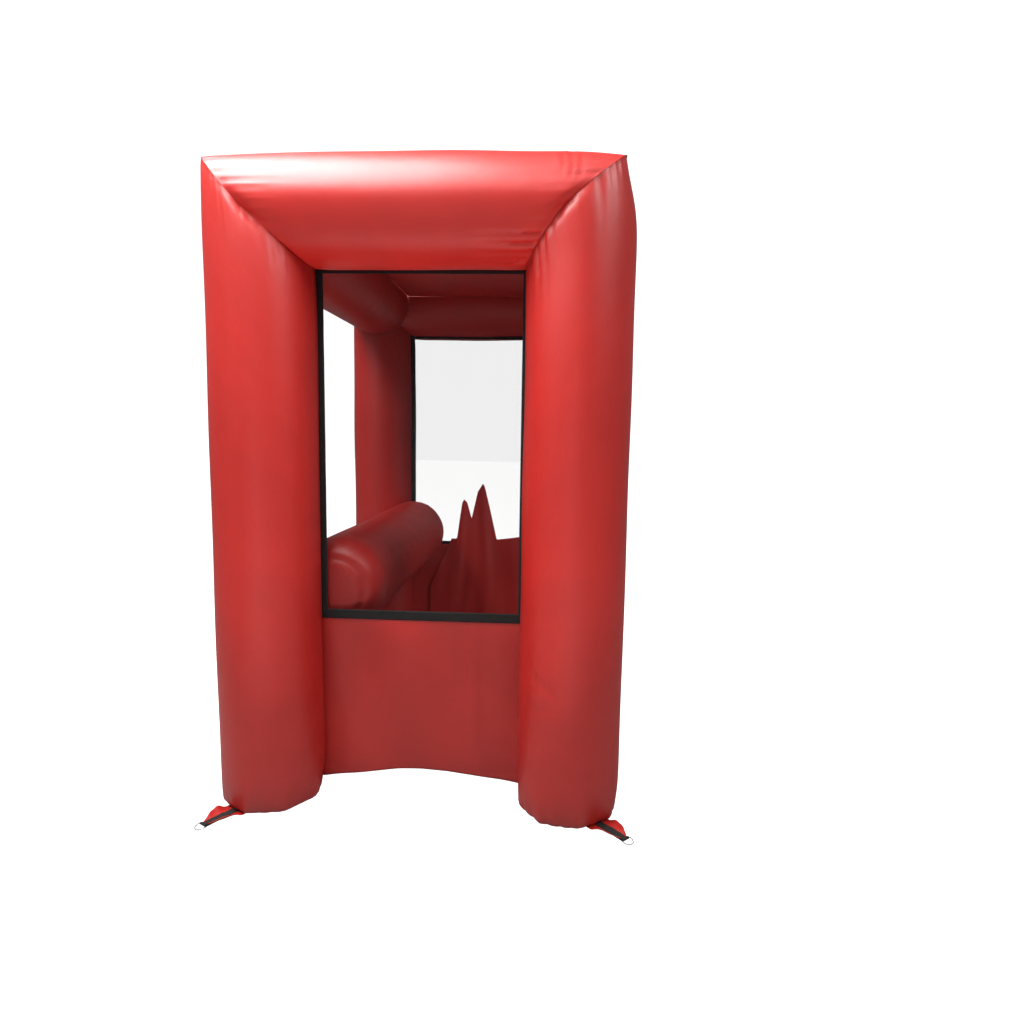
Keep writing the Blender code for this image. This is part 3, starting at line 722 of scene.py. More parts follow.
@dataclass
class InflatedFrame:
    """The eight main tubes: four columns, two mitred arch beams and two coped side beams."""

    around: int = 128
    fine: float = 0.009
    coarse: float = 0.024
    seam_stretch: float = 0.26
    foot_round: float = 0.024
    foot_pleats: float = 6 * MM
    foot_sides: int = 8
    ridge_height: float = 5 * MM
    drift: float = 2.2 * MM
    puckers: Puckers = Puckers()
    ends: dict = field(default_factory=lambda: {"front": -1, "back": 1})
    sides: dict = field(default_factory=lambda: {"left": -1, "right": 1})

    def measure(self) -> None:
        """Takes the tubes' radius and axes from the frame."""
        low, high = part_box("column_front_right")
        self.radius = (high.y - low.y) / 2
        self.x = high.x - self.radius
        self.y = -(low.y + high.y) / 2
        self.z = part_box("beam_front")[1].z - self.radius

    def turn(self) -> np.ndarray:
        """Angles round a tube, one to a column of the grid."""
        return np.arange(self.around) * FULL_TURN / self.around

    def cloth_across(self) -> np.ndarray:
        """The cloth map's distances round a tube."""
        return np.arange(self.around + 1) * FULL_TURN / self.around * self.radius

    def seam(self, end: int, side: int) -> Puckers:
        """The gathers of one mitred corner, the same on its column and its beam."""
        seed = 11 + 20 * (end + 1) + 5 * (side + 1)
        depth = self.puckers.depth * (1.9 if (end, side) == (-1, 1) else 1.1)
        return Puckers(depth=depth, seed=seed)

    def pull(self, end: int, side: int) -> SeamPull:
        """The pull on one corner's seam. The front ones are the most uneven."""
        if end > 0:
            return SeamPull(tip=(-side * 22 * MM, -16 * MM))
        if side < 0:
            return SeamPull(tip=(10 * MM, -14 * MM), middle=(-24 * MM, 0.0))
        return SeamPull(tip=(-40 * MM, -20 * MM), middle=(-36 * MM, 0.0))

    def ridge(self, turned: np.ndarray, away: np.ndarray) -> np.ndarray:
        """The soft ridge that tension draws along a tube from the pinch in its seam.

        Args:
            turned: Degrees round the tube from its outermost line.
            away: Distances from the seam.

        Returns:
            Offsets along the radius.
        """
        crest = np.exp(-(((turned - 88) / 13) ** 2))
        flats = np.exp(-(((turned - 55) / 18) ** 2)) + np.exp(-(((turned - 122) / 18) ** 2))
        star = np.exp(-(((turned - 100) / 16) ** 2)) * np.exp(-((away / 0.022) ** 2))
        return self.ridge_height * (crest - 0.55 * flats) * np.exp(-away / 0.42) - 13 * MM * star

    def column_creases(self, end: int, side: int) -> Sequence[Crease]:
        """The folds low on the front right column, where it was packed tightest."""
        if (end, side) != (-1, 1):
            return ()
        return (
            Crease((-143, 0.56), (-102, 0.49), 6.5 * MM, 9 * MM),
            Crease((-136, 0.43), (-112, 0.44), 5.0 * MM, 8 * MM),
            Crease((-150, 0.47), (-124, 0.40), 4.5 * MM, 8 * MM),
        )

    def beam_creases(self, end: int) -> Sequence[Crease]:
        """The short folds round the front beam's right end, beside its gathered corner."""
        if end > 0:
            return ()
        return (
            Crease((-26, 0.492), (-66, 0.500), 3.5 * MM, 9 * MM),
            Crease((-20, 0.522), (-76, 0.530), 4.5 * MM, 10 * MM),
            Crease((-30, 0.556), (-80, 0.556), 4.0 * MM, 9 * MM),
        )

    def build_column(self, end_name: str, side_name: str) -> bpy.types.Object:
        """Builds a column's skin: pleated foot, round shaft and mitred, gathered top."""
        end, side = self.ends[end_name], self.sides[side_name]
        seam = self.seam(end, side)
        angle = self.turn()[None, :]
        share = stations(self.z, self.seam_stretch, 0.14, self.fine, self.coarse)[:, None] / self.z
        top = self.z + self.radius * np.cos(angle)
        height = (1 - share) * top
        away = top - height
        foot = np.clip(self.foot_round - height, 0, self.foot_round)
        base = self.radius - self.foot_round + np.sqrt(self.foot_round**2 - foot**2)
        place = np.stack(
            [np.cos(angle) + 0 * height, np.sin(angle) + 0 * height, height * 3], axis=-1
        )
        turned = np.degrees(np.arctan2(end * np.sin(angle), np.cos(angle)))
        relief = seam.relief(angle, away) + self.drift * swell(place, 1.9, seam.seed + 40)
        relief += self.ridge(turned, away)
        facet = FULL_TURN / self.foot_sides
        part = np.mod(angle + 0.2 * end, facet) - facet / 2
        flat = math.cos(facet / 2) / np.cos(part) - 1
        relief += 0.8 * self.radius * flat * np.exp(-((height / 0.075) ** 1.5))
        pleat = np.exp(-((periodic(angle, 7, 16, seam.seed + 60) / 0.4) ** 2))
        relief -= self.foot_pleats * pleat * np.exp(-((height / 0.045) ** 1.5))
        degrees = np.degrees(np.arctan2(np.sin(angle), side * np.cos(angle))) + 0 * height
        for crease in self.column_creases(end, side):
            relief += crease.relief(degrees, height, self.radius)
        radius = base + relief
        out = radius * np.cos(angle)
        shift_x, shift_z = self.pull(end, side).shift(turned, away)
        grid = np.stack(
            [
                side * (self.x + out) + shift_x,
                end * self.y + radius * np.sin(angle),
                height + (1 - share) * (out - self.radius * np.cos(angle) + shift_z),
            ],
            axis=-1,
        )
        # Floor dirt near the foot, and painted shade that darkens the skin along the welded seam at the
        # top
        soil = 0.75 * np.exp(-height / 0.05) + 0.10 * np.exp(-away / 0.012) + 0 * angle
        name = f"column_{end_name}_{side_name}"
        along = (1 - share[:, 0]) * self.z
        piece = grid_piece(f"{name}_skin", grid, self.cloth_across(), along, True, True, soil)
        return settle(dress(face_out(piece), FINISHES.tarpaulin), name)

    def build_arch_beam(self, end_name: str) -> bpy.types.Object:
        """Builds the front or back beam's skin, gathered at both mitres."""
        end = self.ends[end_name]
        angle = self.turn()[None, :]
        mean = 2 * self.x
        steps = stations(mean, self.seam_stretch, self.seam_stretch, self.fine, self.coarse)
        share = steps[:, None] / mean * 2 - 1
        reach = self.x + self.radius * np.cos(angle)
        across = share * reach
        turned = np.degrees(np.arctan2(end * np.sin(angle), np.cos(angle)))
        relief, shift_x, shift_z = 0 * across, 0 * across, 0 * across
        for side in self.sides.values():
            away = reach - side * across
            relief += self.seam(end, side).relief(angle, away) + self.ridge(turned, away)
            pulled = self.pull(end, side).shift(turned, away)
            shift_x, shift_z = shift_x + pulled[0], shift_z + pulled[1]
        place = np.stack([across * 3, np.cos(angle) + 0 * across, np.sin(angle) + 0 * across], -1)
        relief += self.drift * swell(place, 1.7, 71 + end)
        degrees = np.degrees(np.arctan2(np.sin(angle), np.cos(angle))) + 0 * across
        for crease in self.beam_creases(end):
            relief += crease.relief(degrees, across, self.radius)
        radius = self.radius + relief
        up = radius * np.cos(angle)
        grid = np.stack(
            [
                share * (self.x + up) + shift_x,
                end * self.y + radius * np.sin(angle),
                self.z + up + shift_z,
            ],
            axis=-1,
        )
        away = reach - np.abs(across)
        # Painted shade: darkens the skin along the welded seams at both mitres
        soil = 0.10 * np.exp(-away / 0.012)
        name = f"beam_{end_name}"
        along = share[:, 0] * self.x
        piece = grid_piece(f"{name}_skin", grid, self.cloth_across(), along, True, True, soil)
        return settle(dress(face_out(piece), FINISHES.tarpaulin), name)

    def build_side_beam(self, side_name: str) -> bpy.types.Object:
        """Builds a side beam's skin, welded onto the round of the two arches."""
        side = self.sides[side_name]
        angle = self.turn()[None, :]
        mean = 2 * (self.y - self.radius * 0.8)
        steps = stations(mean, 0.18, 0.18, self.fine * 1.2, self.coarse)
        share = steps[:, None] / mean * 2 - 1
        outermost = np.maximum(np.cos(angle), np.sin(angle)) * self.radius
        gap = 3 * MM
        reach = self.y - np.sqrt((self.radius + gap) ** 2 - outermost**2)
        along = share * reach
        relief = 0 * along
        for end in self.ends.values():
            gathers = Puckers(depth=5 * MM, pinch=9 * MM, pinch_reach=0.02, seed=131 + 9 * end + side)
            relief += gathers.relief(angle, reach - end * along)
        place = np.stack([along * 3, np.cos(angle) + 0 * along, np.sin(angle) + 0 * along], -1)
        relief += self.drift * swell(place, 1.8, 91 + side)
        radius = self.radius + relief
        grid = np.stack(
            [
                side * (self.x + radius * np.cos(angle)),
                along,
                self.z + radius * np.sin(angle),
            ],
            axis=-1,
        )
        # Painted shade: darkens the skin near its welds to the two arches
        soil = 0.10 * np.exp(-(reach - np.abs(along)) / 0.012)
        name = f"beam_{side_name}"
        rows = share[:, 0] * self.y
        piece = grid_piece(f"{name}_skin", grid, self.cloth_across(), rows, True, True, soil)
        return settle(dress(face_out(piece), FINISHES.tarpaulin), name)

    def build(self) -> None:
        """Builds every tube."""
        self.measure()
        for end_name in self.ends:
            for side_name in self.sides:
                self.build_column(end_name, side_name)
            self.build_arch_beam(end_name)
        for side_name in self.sides:
            self.build_side_beam(side_name)


# Walls, roof and ground sheet


@dataclass
class Stitching:
    """A row of lockstitches: short rounded threads, end to end."""

    length: float = 5.0 * MM
    pitch: float = 7.0 * MM
    thick: float = 0.9 * MM

    def build(self, name: str, rows: Sequence[tuple[Vector, Vector]], out: Vector) -> None:
        """Lays stitches along straight rows.

        Args:
            name: The piece's name.
            rows: The start and end of each row, on the tape's face.
            out: The way the tape faces.
        """
        work = bmesh.new()
        for start, end in rows:
            run = end - start
            along = run.normalized()
            across = along.cross(out)
            turn = Matrix((along, across, out)).transposed().to_4x4()
            for i in range(int(run.length / self.pitch)):
                middle = start + along * self.pitch * (i + 0.5)
                size = Matrix.Diagonal((self.length / 2, self.thick / 2, self.thick / 2, 1))
                place = Matrix.Translation(middle) @ turn @ size
                bmesh.ops.create_icosphere(work, subdivisions=1, radius=1.0, matrix=place)
        mesh = bpy.data.meshes.new(name)
        work.to_mesh(mesh)
        work.free()
        mesh.shade_smooth()
        piece = bpy.data.objects.new(name, mesh)
        bpy.context.scene.collection.objects.link(piece)
        settle(dress(piece, FINISHES.solid(FINISHES.thread)))


@dataclass
class WindowWall:
    """The front or back wall: clear film, black tape round it and the red panel below."""

    end_name: str
    end: int
    film_thick: float = 0.8 * MM
    tape_thick: float = 2.4 * MM
    panel_thick: float = 1.0 * MM
    billow: float = 4 * MM
    hem_width: float = 0.030
    seam: float = 8 * MM

    def build(self) -> None:
        """Builds the film, the tape and the panel."""
        self.build_film()
        self.build_tape()
        self.build_panel()

    def build_film(self) -> None:
        """The film: nearly flat, with slow ripples that die out at its edges."""
        node = f"window_{self.end_name}"
        low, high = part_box(node)
        x = np.linspace(low.x - self.seam, high.x + self.seam, 61)[None, :]
        z = np.linspace(low.z, high.z + self.seam, 91)[:, None]
        x, z = np.broadcast_arrays(x, z)
        edge = np.minimum(np.minimum(x - low.x, high.x - x), np.minimum(z - low.z, high.z - z))
        hold = smooth_step(edge, 0.0, 0.12)
        place = np.stack([x, 0 * x, z * 0.6], -1)
        y = (low.y + high.y) / 2 + hold * self.billow * swell(place, 0.34, 5 + self.end)
        grid = np.stack([x, y, z], -1)
        piece = grid_piece(f"{node}_film", grid, x[0], z[:, 0])
        settle(dress(thicken(piece, self.film_thick), FINISHES.film), node)

    def build_tape(self) -> None:
        """The binding tape: four lengths with mitred corners, stitched along both edges."""
        node = f"binding_{self.end_name}"
        low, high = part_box(node)
        left, inner_left, inner_right, right = levels(node, 0)
        bottom, sill, head, top = levels(node, 2)
        wide, head_seam = self.seam, top + self.seam
        outer = [
            (left - wide, bottom),
            (right + wide, bottom),
            (right + wide, head_seam),
            (left - wide, head_seam),
        ]
        inner = [(inner_left, sill), (inner_right, sill), (inner_right, head), (inner_left, head)]
        y = (low.y + high.y) / 2
        rows, cloth_along, run = [], [], 0.0
        for k in range(4):
            a, b = np.array(outer[k]), np.array(outer[(k + 1) % 4])
            c, d = np.array(inner[k]), np.array(inner[(k + 1) % 4])
            count = max(8, round(float(np.linalg.norm(b - a)) / 0.02))
            for i in range(count):
                share = i / count
                rows.append((a + (b - a) * share, c + (d - c) * share))
                cloth_along.append(run + float(np.linalg.norm(b - a)) * share)
            run += float(np.linalg.norm(b - a))
        rows.append(rows[0])
        cloth_along.append(run)
        columns = 7
        cloth_across = np.linspace(0, 0.03, columns)
        pairs = np.array(rows)
        share = np.linspace(0, 1, columns)[None, :, None]
        flat = pairs[:, :1, :] * (1 - share) + pairs[:, 1:, :] * share
        place = np.stack([flat[..., 0], 0 * flat[..., 0], flat[..., 1]], -1)
        depth = y + 0.5 * MM * swell(place, 0.06, 17 + self.end)
        grid = np.stack([flat[..., 0], depth, flat[..., 1]], -1)
        # The cloth map runs along the tape first, so that the ribs cross it
        piece = grid_piece(f"{node}_tape", grid, cloth_across, np.array(cloth_along))
        swap = piece.data.uv_layers["cloth"].data
        values = np.zeros(len(swap) * 2, np.float32)
        swap.foreach_get("uv", values)
        swap.foreach_set("uv", values.reshape(-1, 2)[:, ::-1].ravel())
        settle(dress(thicken(piece, self.tape_thick), FINISHES.tape), node)
        face = y + self.end * (self.tape_thick / 2 + 0.2 * MM)
        inset = 4 * MM
        out = Vector((0, self.end, 0))
        stitched = []
        for x in (left + inset, inner_left - inset, inner_right + inset, right - inset):
            stitched.append((Vector((x, face, bottom + inset)), Vector((x, face, top - inset))))
        for z in (bottom + inset, sill - inset, top - inset):
            stitched.append((Vector((left + inset, face, z)), Vector((right - inset, face, z))))
        Stitching().build(f"{node}_stitches", stitched, out)

    def build_panel(self) -> None:
        """The lower panel: taut at its sides, soft in the middle, with a folded hem."""
        node = f"lower_panel_{self.end_name}"
        low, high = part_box(node)
        hem = hem_of(node, 0)
        x = np.linspace(low.x - self.seam, high.x + self.seam, 91)[None, :]
        share = np.linspace(0, 1, 91)[:, None]
        floor = hem(x[0])[None, :]
        z = floor + (high.z - floor) * share
        x = np.broadcast_to(x, z.shape)
        y = (low.y + high.y) / 2 + self.slack(x, z, low, high) * self.end
        grid = np.stack([x, y, z], -1)
        soil = 0.5 * np.exp(-(z - floor) / 0.05)
        piece = grid_piece(f"{node}_cloth", grid, x[0], z.mean(axis=1), soil=soil)
        settle(dress(thicken(piece, self.panel_thick), FINISHES.tarpaulin), node)

    def slack(self, x: np.ndarray, z: np.ndarray, low: Vector, high: Vector) -> np.ndarray:
        """How far the panel stands forward: a soft upright fold, ripples and a heavier hem.

        Args:
            x: Places across.
            z: Heights.
            low: The panel's lowest corner.
            high: The panel's highest corner.

        Returns:
            Offsets towards the outside.
        """
        edge = np.minimum(x - low.x, high.x - x)
        hold = smooth_step(edge, 0.0, 0.10) * smooth_step(high.z - z, 0.0, 0.10)
        place = np.stack([x * 1.3, 0 * x, z * 0.5], -1)
        ripple = 5 * MM * swell(place, 0.30, 23 + self.end)
        line = 0.190 + 0.03 * (high.z - z)
        fold = 4 * MM * np.exp(-(((x - line) / 0.024) ** 2)) * smooth_step(z, 0.12, 0.3)
        hem_band = 1.2 * MM * (1 - smooth_step(z - low.z, self.hem_width, self.hem_width + 0.004))
        return hold * (ripple + fold) + hem_band


@dataclass
class Enclosure:
    """Roof sheet, ground sheet and the left panel."""

    thick: float = 1.0 * MM

    def build(self) -> None:
        """Builds the three sheets."""
        self.build_flat("roof_sheet", 14 * MM)
        self.build_flat("ground_sheet", 1.2 * MM)
        self.build_left_panel()

    def build_flat(self, node: str, rise: float) -> None:
        """A level sheet that bellies or wrinkles a little.

        Args:
            node: The frame node that it stands for.
            rise: How far its ripples reach.
        """
        low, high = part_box(node)
        x = np.linspace(low.x, high.x, 81)[None, :]
        y = np.linspace(low.y, high.y, 121)[:, None]
        x, y = np.broadcast_arrays(x, y)
        edge = np.minimum(np.minimum(x - low.x, high.x - x), np.minimum(y - low.y, high.y - y))
        place = np.stack([x, y * 0.8, 0 * x], -1)
        ripple = 0.5 + 0.5 * swell(place, 0.35, len(node))
        z = (low.z + high.z) / 2 + smooth_step(edge, 0, 0.2) * rise * ripple
        piece = grid_piece(f"{node}_cloth", np.stack([x, y, z], -1), x[0], y[:, 0])
        settle(dress(thicken(piece, self.thick), FINISHES.tarpaulin), node)

    def build_left_panel(self) -> None:
        """The panel under the bolster, with its hem raised in the middle."""
        node = "lower_panel_left"
        low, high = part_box(node)
        hem = hem_of(node, 1)
        y = np.linspace(low.y, high.y, 121)[None, :]
        share = np.linspace(0, 1, 61)[:, None]
        floor = hem(y[0])[None, :]
        z = floor + (high.z - floor) * share
        y = np.broadcast_to(y, z.shape)
        edge = np.minimum(np.minimum(y - low.y, high.y - y), high.z - z)
        place = np.stack([0 * y, y * 1.2, z * 0.5], -1)
        x = (low.x + high.x) / 2 - smooth_step(edge, 0, 0.1) * 7 * MM * swell(place, 0.33, 29)
        soil = 0.5 * np.exp(-(z - floor) / 0.05)
        grid = np.stack([x, y, z], -1)
        piece = grid_piece(f"{node}_cloth", grid, y[0], z.mean(axis=1), soil=soil)
        settle(dress(thicken(piece, self.thick), FINISHES.tarpaulin), node)


# Bolster and liner


@dataclass
class Bolster:
    """The inflated bolster along the left side, pressed against the columns at both ends."""

    around: int = 96
    bend: float = 0.110
    cap_share: float = 0.64
    cap_groove: float = 9 * MM
    clearance: float = 4 * MM

    def meridian(self, radius: float, half: float) -> tuple[np.ndarray, np.ndarray]:
        """Half of the bolster's outline: its cap, its rounded shoulder and its side.

        Args:
            radius: The bolster's radius.
            half: Half of its length.

        Returns:
            Distances from the end and radii, from the cap's middle to the bolster's middle.
        """
        flat = np.linspace(0.1, 1, 7)
        turn = np.radians(np.arange(6, 91, 6))
        side = np.linspace(self.bend, half, round((half - self.bend) / 0.022))[1:]
        away = np.concatenate([3 * MM * flat**2, 3 * MM + self.bend * (1 - np.cos(turn)), side])
        core = radius - self.bend
        base = np.concatenate([core * flat, core + self.bend * np.sin(turn), 0 * side + radius])
        return away, base

    def build(self, tubes: InflatedFrame) -> None:
        """Builds the bolster's skin.

        Args:
            tubes: The main tubes, which it presses against.
        """
        node = "bolster_left"
        low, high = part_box(node)
        radius = (high.x - low.x) / 2
        middle_x, middle_z = (low.x + high.x) / 2, (low.z + high.z) / 2
        half = (high.y - low.y) / 2
        angle = np.arange(self.around)[None, :] * FULL_TURN / self.around
        away, base = self.meridian(radius, half)
        rise = np.concatenate([away, (2 * half - away)[::-1]])[:, None]
        base = np.concatenate([base, base[::-1]])[:, None]
        away = np.minimum(rise, 2 * half - rise)
        steps = rise - half
        gathers = Puckers(depth=7 * MM, pinch=0, reach=0.13, most=20, seed=211)
        past_cap = smooth_step(base, radius * self.cap_share, radius * 0.95)
        relief = gathers.relief(angle, away) * past_cap
        groove = np.exp(-(((base - self.cap_share * radius) / 0.010) ** 2))
        inward = self.cap_groove * groove * (1 + 0.3 * periodic(angle, 9, 18, 219))
        place = np.stack(
            [steps * 2 + 0 * angle, np.cos(angle) + 0 * steps, np.sin(angle) + 0 * steps], -1
        )
        relief = relief + 3 * MM * swell(place, 1.4, 215) * past_cap
        r = base + relief
        grid = np.stack(
            [
                middle_x + r * np.cos(angle),
                steps - np.sign(steps) * inward,
                middle_z + r * np.sin(angle),
            ],
            axis=-1,
        )
        for end in (-1, 1):
            offset = grid[..., :2] - np.array([-tubes.x, end * tubes.y])
            distance = np.linalg.norm(offset, axis=-1, keepdims=True)
            keep = tubes.radius + self.clearance
            push = np.maximum(keep - distance, 0)
            grid[..., :2] += offset / distance * push
        across = np.arange(self.around + 1) * FULL_TURN / self.around * radius
        # Painted shade: darkens the bolster near its ends, where it presses on the columns
        soil = 0.15 * np.exp(-away / 0.02) + 0 * angle
        piece = grid_piece(f"{node}_skin", grid, across, steps[:, 0], True, True, soil)
        settle(dress(face_out(piece, 70), FINISHES.tarpaulin), node)


@dataclass
class SlackLiner:
    """The loose liner inside the back wall, whose top edge stands up in two pointed folds."""

    thick: float = 1.0 * MM

    def build(self) -> None:
        """Builds the liner from the frame node's outline."""
        node = "slack_liner"
        low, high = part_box(node)
        tops: dict[float, float] = {}
        for vertex in bpy.data.objects[node].data.vertices:
            place = round(vertex.co.x, 4)
            tops[place] = max(tops.get(place, 0.0), vertex.co.z)
        places = sorted(tops)
        x = np.linspace(low.x, high.x, 121)[None, :]
        top = np.interp(x, places, [tops[p] for p in places])
        share = np.linspace(0, 1, 81)[:, None]
        z = low.z + (top - low.z) * share
        x = np.broadcast_to(x, z.shape)
        place = np.stack([x * 2.2, 0 * x, z * 0.45], -1)
        ripple = 9 * MM * (0.5 + 0.5 * swell(place, 0.22, 301))
        for middle, lean, width, depth in ((0.07, 0.05, 0.030, 16 * MM), (-0.05, -0.06, 0.022, 10 * MM)):
            line = middle + lean * (1.0 - z)
            ripple = ripple + depth * np.exp(-(((x - line) / width) ** 2)) * smooth_step(z, 0.25, 0.8)
        y = high.y - 1 * MM - ripple
        grid = np.stack([x, y, z], -1)
        piece = grid_piece(f"{node}_cloth", grid, x[0], z.mean(axis=1))
        settle(dress(thicken(piece, self.thick), FINISHES.tarpaulin), node)


# Anchors


@dataclass
class Anchor:
    """A fabric leaf at a column's foot, with webbing down its middle to a steel D-ring."""

    corner: str
    cup: float = 18 * MM
    tuck: float = 35 * MM
    thick: float = 1.2 * MM

    def build(self, joints: dict) -> None:
        """Builds the leaf and the webbing, and dresses the ring.

        Args:
            joints: The frame's joints by name.
        """
        swing = joints[f"d_ring_{self.corner}_swing"]
        bar = Vector(swing["pos_m"])
        way = Vector((-swing["axis"][1], swing["axis"][0], 0))
        self.place = Matrix((way, Vector((0, 0, 1)).cross(way), Vector((0, 0, 1)))).transposed().to_4x4()
        self.place.translation = Vector((bar.x, bar.y, 0))
        self.bar_height = bar.z
        self.build_leaf()
        self.build_webbing()
        ring = bpy.data.objects[f"d_ring_{self.corner}"]
        step = ring.modifiers.new("round", "SUBSURF")
        step.levels = step.render_levels = 2
        ring.data.shade_smooth()
        dress(ring, FINISHES.zinc)

    def local(self, node: str) -> np.ndarray:
        """A frame node's corners, in the anchor's own axes."""
        back = self.place.inverted()
        return np.array([back @ vertex.co for vertex in bpy.data.objects[node].data.vertices])

    def build_leaf(self) -> None:
        """The leaf: cupped, with its edges lifted off the floor."""
        node = f"anchor_leaf_{self.corner}"
        corners = self.local(node)
        widths: dict[float, float] = {}
        for x, y, _ in corners:
            key = round(float(x), 4)
            widths[key] = max(widths.get(key, 0.0), float(y))
        places = sorted(widths)
        x = np.linspace(places[0] - self.tuck, places[-1], 45)[:, None]
        half = np.interp(x, places, [widths[p] for p in places])
        share = np.linspace(-1, 1, 25)[None, :]
        y = half * share * 0.98
        lift = smooth_step(x - places[0], 0.0, 0.05) * (1 - 0.45 * smooth_step(x, -0.05, -0.01))
        seed = sum(ord(letter) for letter in self.corner)
        wobble = swell(np.stack([x + 0 * y, y, 0 * x + 0 * y], -1), 0.06, seed)
        curl = np.abs(share) ** 2.2 * (self.cup + 4 * MM * wobble)
        z = 1.2 * MM + lift * curl
        grid = np.stack([x + 0 * y, y, z], -1)
        piece = grid_piece(f"{node}_cloth", grid, share[0] * 0.05, x[:, 0])
        piece.data.transform(self.place)
        settle(dress(thicken(piece, self.thick), FINISHES.tarpaulin), node)

    def build_webbing(self) -> None:
        """The webbing: out along the leaf, round the ring's bar and back."""
        node = f"anchor_webbing_{self.corner}"
        corners = self.local(node)
        start, half = float(corners[:, 0].min()) - self.tuck, float(corners[:, 1].max())
        bend = float(corners[:, 0].max()) - 1.0 * MM
        height = self.bar_height
        low, high = height - bend, height - bend + 2.3 * MM
        path = [(start + i * (-start) / 18, low) for i in range(18)]
        path += [
            (bend * math.cos(a), height + bend * math.sin(a))
            for a in np.radians(np.arange(-90, 91, 15))
        ]
        back = [-3.2 * bend * (i + 1) / 6 for i in range(6)]
        path += [
            (x, height + bend - (height + bend - high) * (i + 1) / 6) for i, x in enumerate(back)
        ]
        path += [(x, high) for x in np.linspace(-4.0 * bend, start * 0.55, 8)]
        line = np.array(path)
        share = np.linspace(-1, 1, 9)
        grid = np.stack(
            [
                np.repeat(line[:, :1], 9, axis=1),
                np.repeat(share[None, :] * half, len(line), axis=0),
                np.repeat(line[:, 1:], 9, axis=1),
            ],
            axis=-1,
        )
        run = np.concatenate([[0], np.cumsum(np.linalg.norm(np.diff(line, axis=0), axis=1))])
        piece = grid_piece(f"{node}_tape", grid, share * half, run)
        piece.data.transform(self.place)
        settle(dress(thicken(piece, 1.7 * MM), FINISHES.tape), node)


# Zip, sleeve and blower


@dataclass
class DeflationZip:
    """The zip on the back left column: tape, coil teeth, slider and pull."""

    pitch: float = 3.0 * MM

    def build(self) -> None:
        """Dresses the frame's pieces and adds the teeth."""
        low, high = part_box("zip_tape")
        middle = (low.x + high.x) / 2
        work = bmesh.new()
        count = int((high.z - low.z - 0.01) / self.pitch)
        for i in range(count):
            for side in (-1, 1):
                z = low.z + 5 * MM + self.pitch * (i + 0.25 + 0.25 * side)
                place = Matrix.Translation((middle + side * 0.9 * MM, high.y + 0.02 * MM, z))
                size = Matrix.Diagonal((1.9 * MM, 0.22 * MM, 0.75 * MM, 1))
                bmesh.ops.create_icosphere(work, subdivisions=2, radius=1.0, matrix=place @ size)
        mesh = bpy.data.meshes.new("zip_teeth")
        work.to_mesh(mesh)
        work.free()
        mesh.shade_smooth()
        teeth = bpy.data.objects.new("zip_teeth", mesh)
        bpy.context.scene.collection.objects.link(teeth)
        settle(dress(teeth, FINISHES.dark))
        dress(bpy.data.objects["zip_tape"], FINISHES.solid(FINISHES.tape))
        for name in ("zip_slider", "zip_pull"):
            soften(bpy.data.objects[name], 0.5 * MM)
            dress(bpy.data.objects[name], FINISHES.zinc)


def soften(piece: bpy.types.Object, width: float, angle: float = 35) -> None:
    """Rounds a frame piece's sharp edges with a bevel modifier."""
    step = piece.modifiers.new("soft_edges", "BEVEL")
    step.width = width
    step.segments = 3
    step.limit_method = "ANGLE"
    step.angle_limit = math.radians(angle)
    piece.data.shade_smooth()
    normals = piece.modifiers.new("even_normals", "WEIGHTED_NORMAL")
    normals.keep_sharp = False


@dataclass
class IntakeSleeve:
    """The sleeve from the blower to the back right column, gathered under its strap."""

    around: int = 96

    def build(self, tubes: InflatedFrame) -> None:
        """Builds the sleeve's skin and dresses the strap.

        Args:
            tubes: The main tubes, which it is welded to.
        """
        node = "intake_sleeve"
        low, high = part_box(node)
        strap_low, strap_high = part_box("intake_strap")
        radius = (high.x - low.x) / 2
        x, z = (low.x + high.x) / 2, (low.z + high.z) / 2
        angle = np.arange(self.around)[None, :] * FULL_TURN / self.around
        weld = tubes.y + np.sqrt((tubes.radius + 2 * MM) ** 2 - (radius * np.cos(angle)) ** 2)
        share = np.linspace(0, 1, 70)[:, None]
        y = weld + (high.y - weld) * share
        strap = (strap_low.y + strap_high.y) / 2
        tied = np.exp(-(((y - strap) / 0.035) ** 2))
        fold = np.exp(-((periodic(angle, 10, 22, 401) / 0.35) ** 2))
        bag = np.exp(-(((y - (weld + 0.12)) / 0.11) ** 2))
        place = np.stack([np.cos(angle) + 0 * y, np.sin(angle) + 0 * y, y * 5], -1)
        relief = -4 * MM * tied * fold + 4 * MM * bag + 3 * MM * swell(place, 1.0, 405) * (1 - tied)
        r = radius - 1.5 * MM + relief
        grid = np.stack([x + r * np.cos(angle), y, z + r * np.sin(angle)], -1)
        across = np.arange(self.around + 1) * FULL_TURN / self.around * radius
        piece = grid_piece(f"{node}_skin", grid, across, y.mean(axis=1), wrap=True)
        settle(dress(thicken(face_out(piece), 1.0 * MM, -1.0), FINISHES.tarpaulin), node)
        dress(bpy.data.objects["intake_strap"], FINISHES.solid(FINISHES.tape))
        soften(bpy.data.objects["strap_buckle"], 2 * MM)
        dress(bpy.data.objects["strap_buckle"], FINISHES.dark)


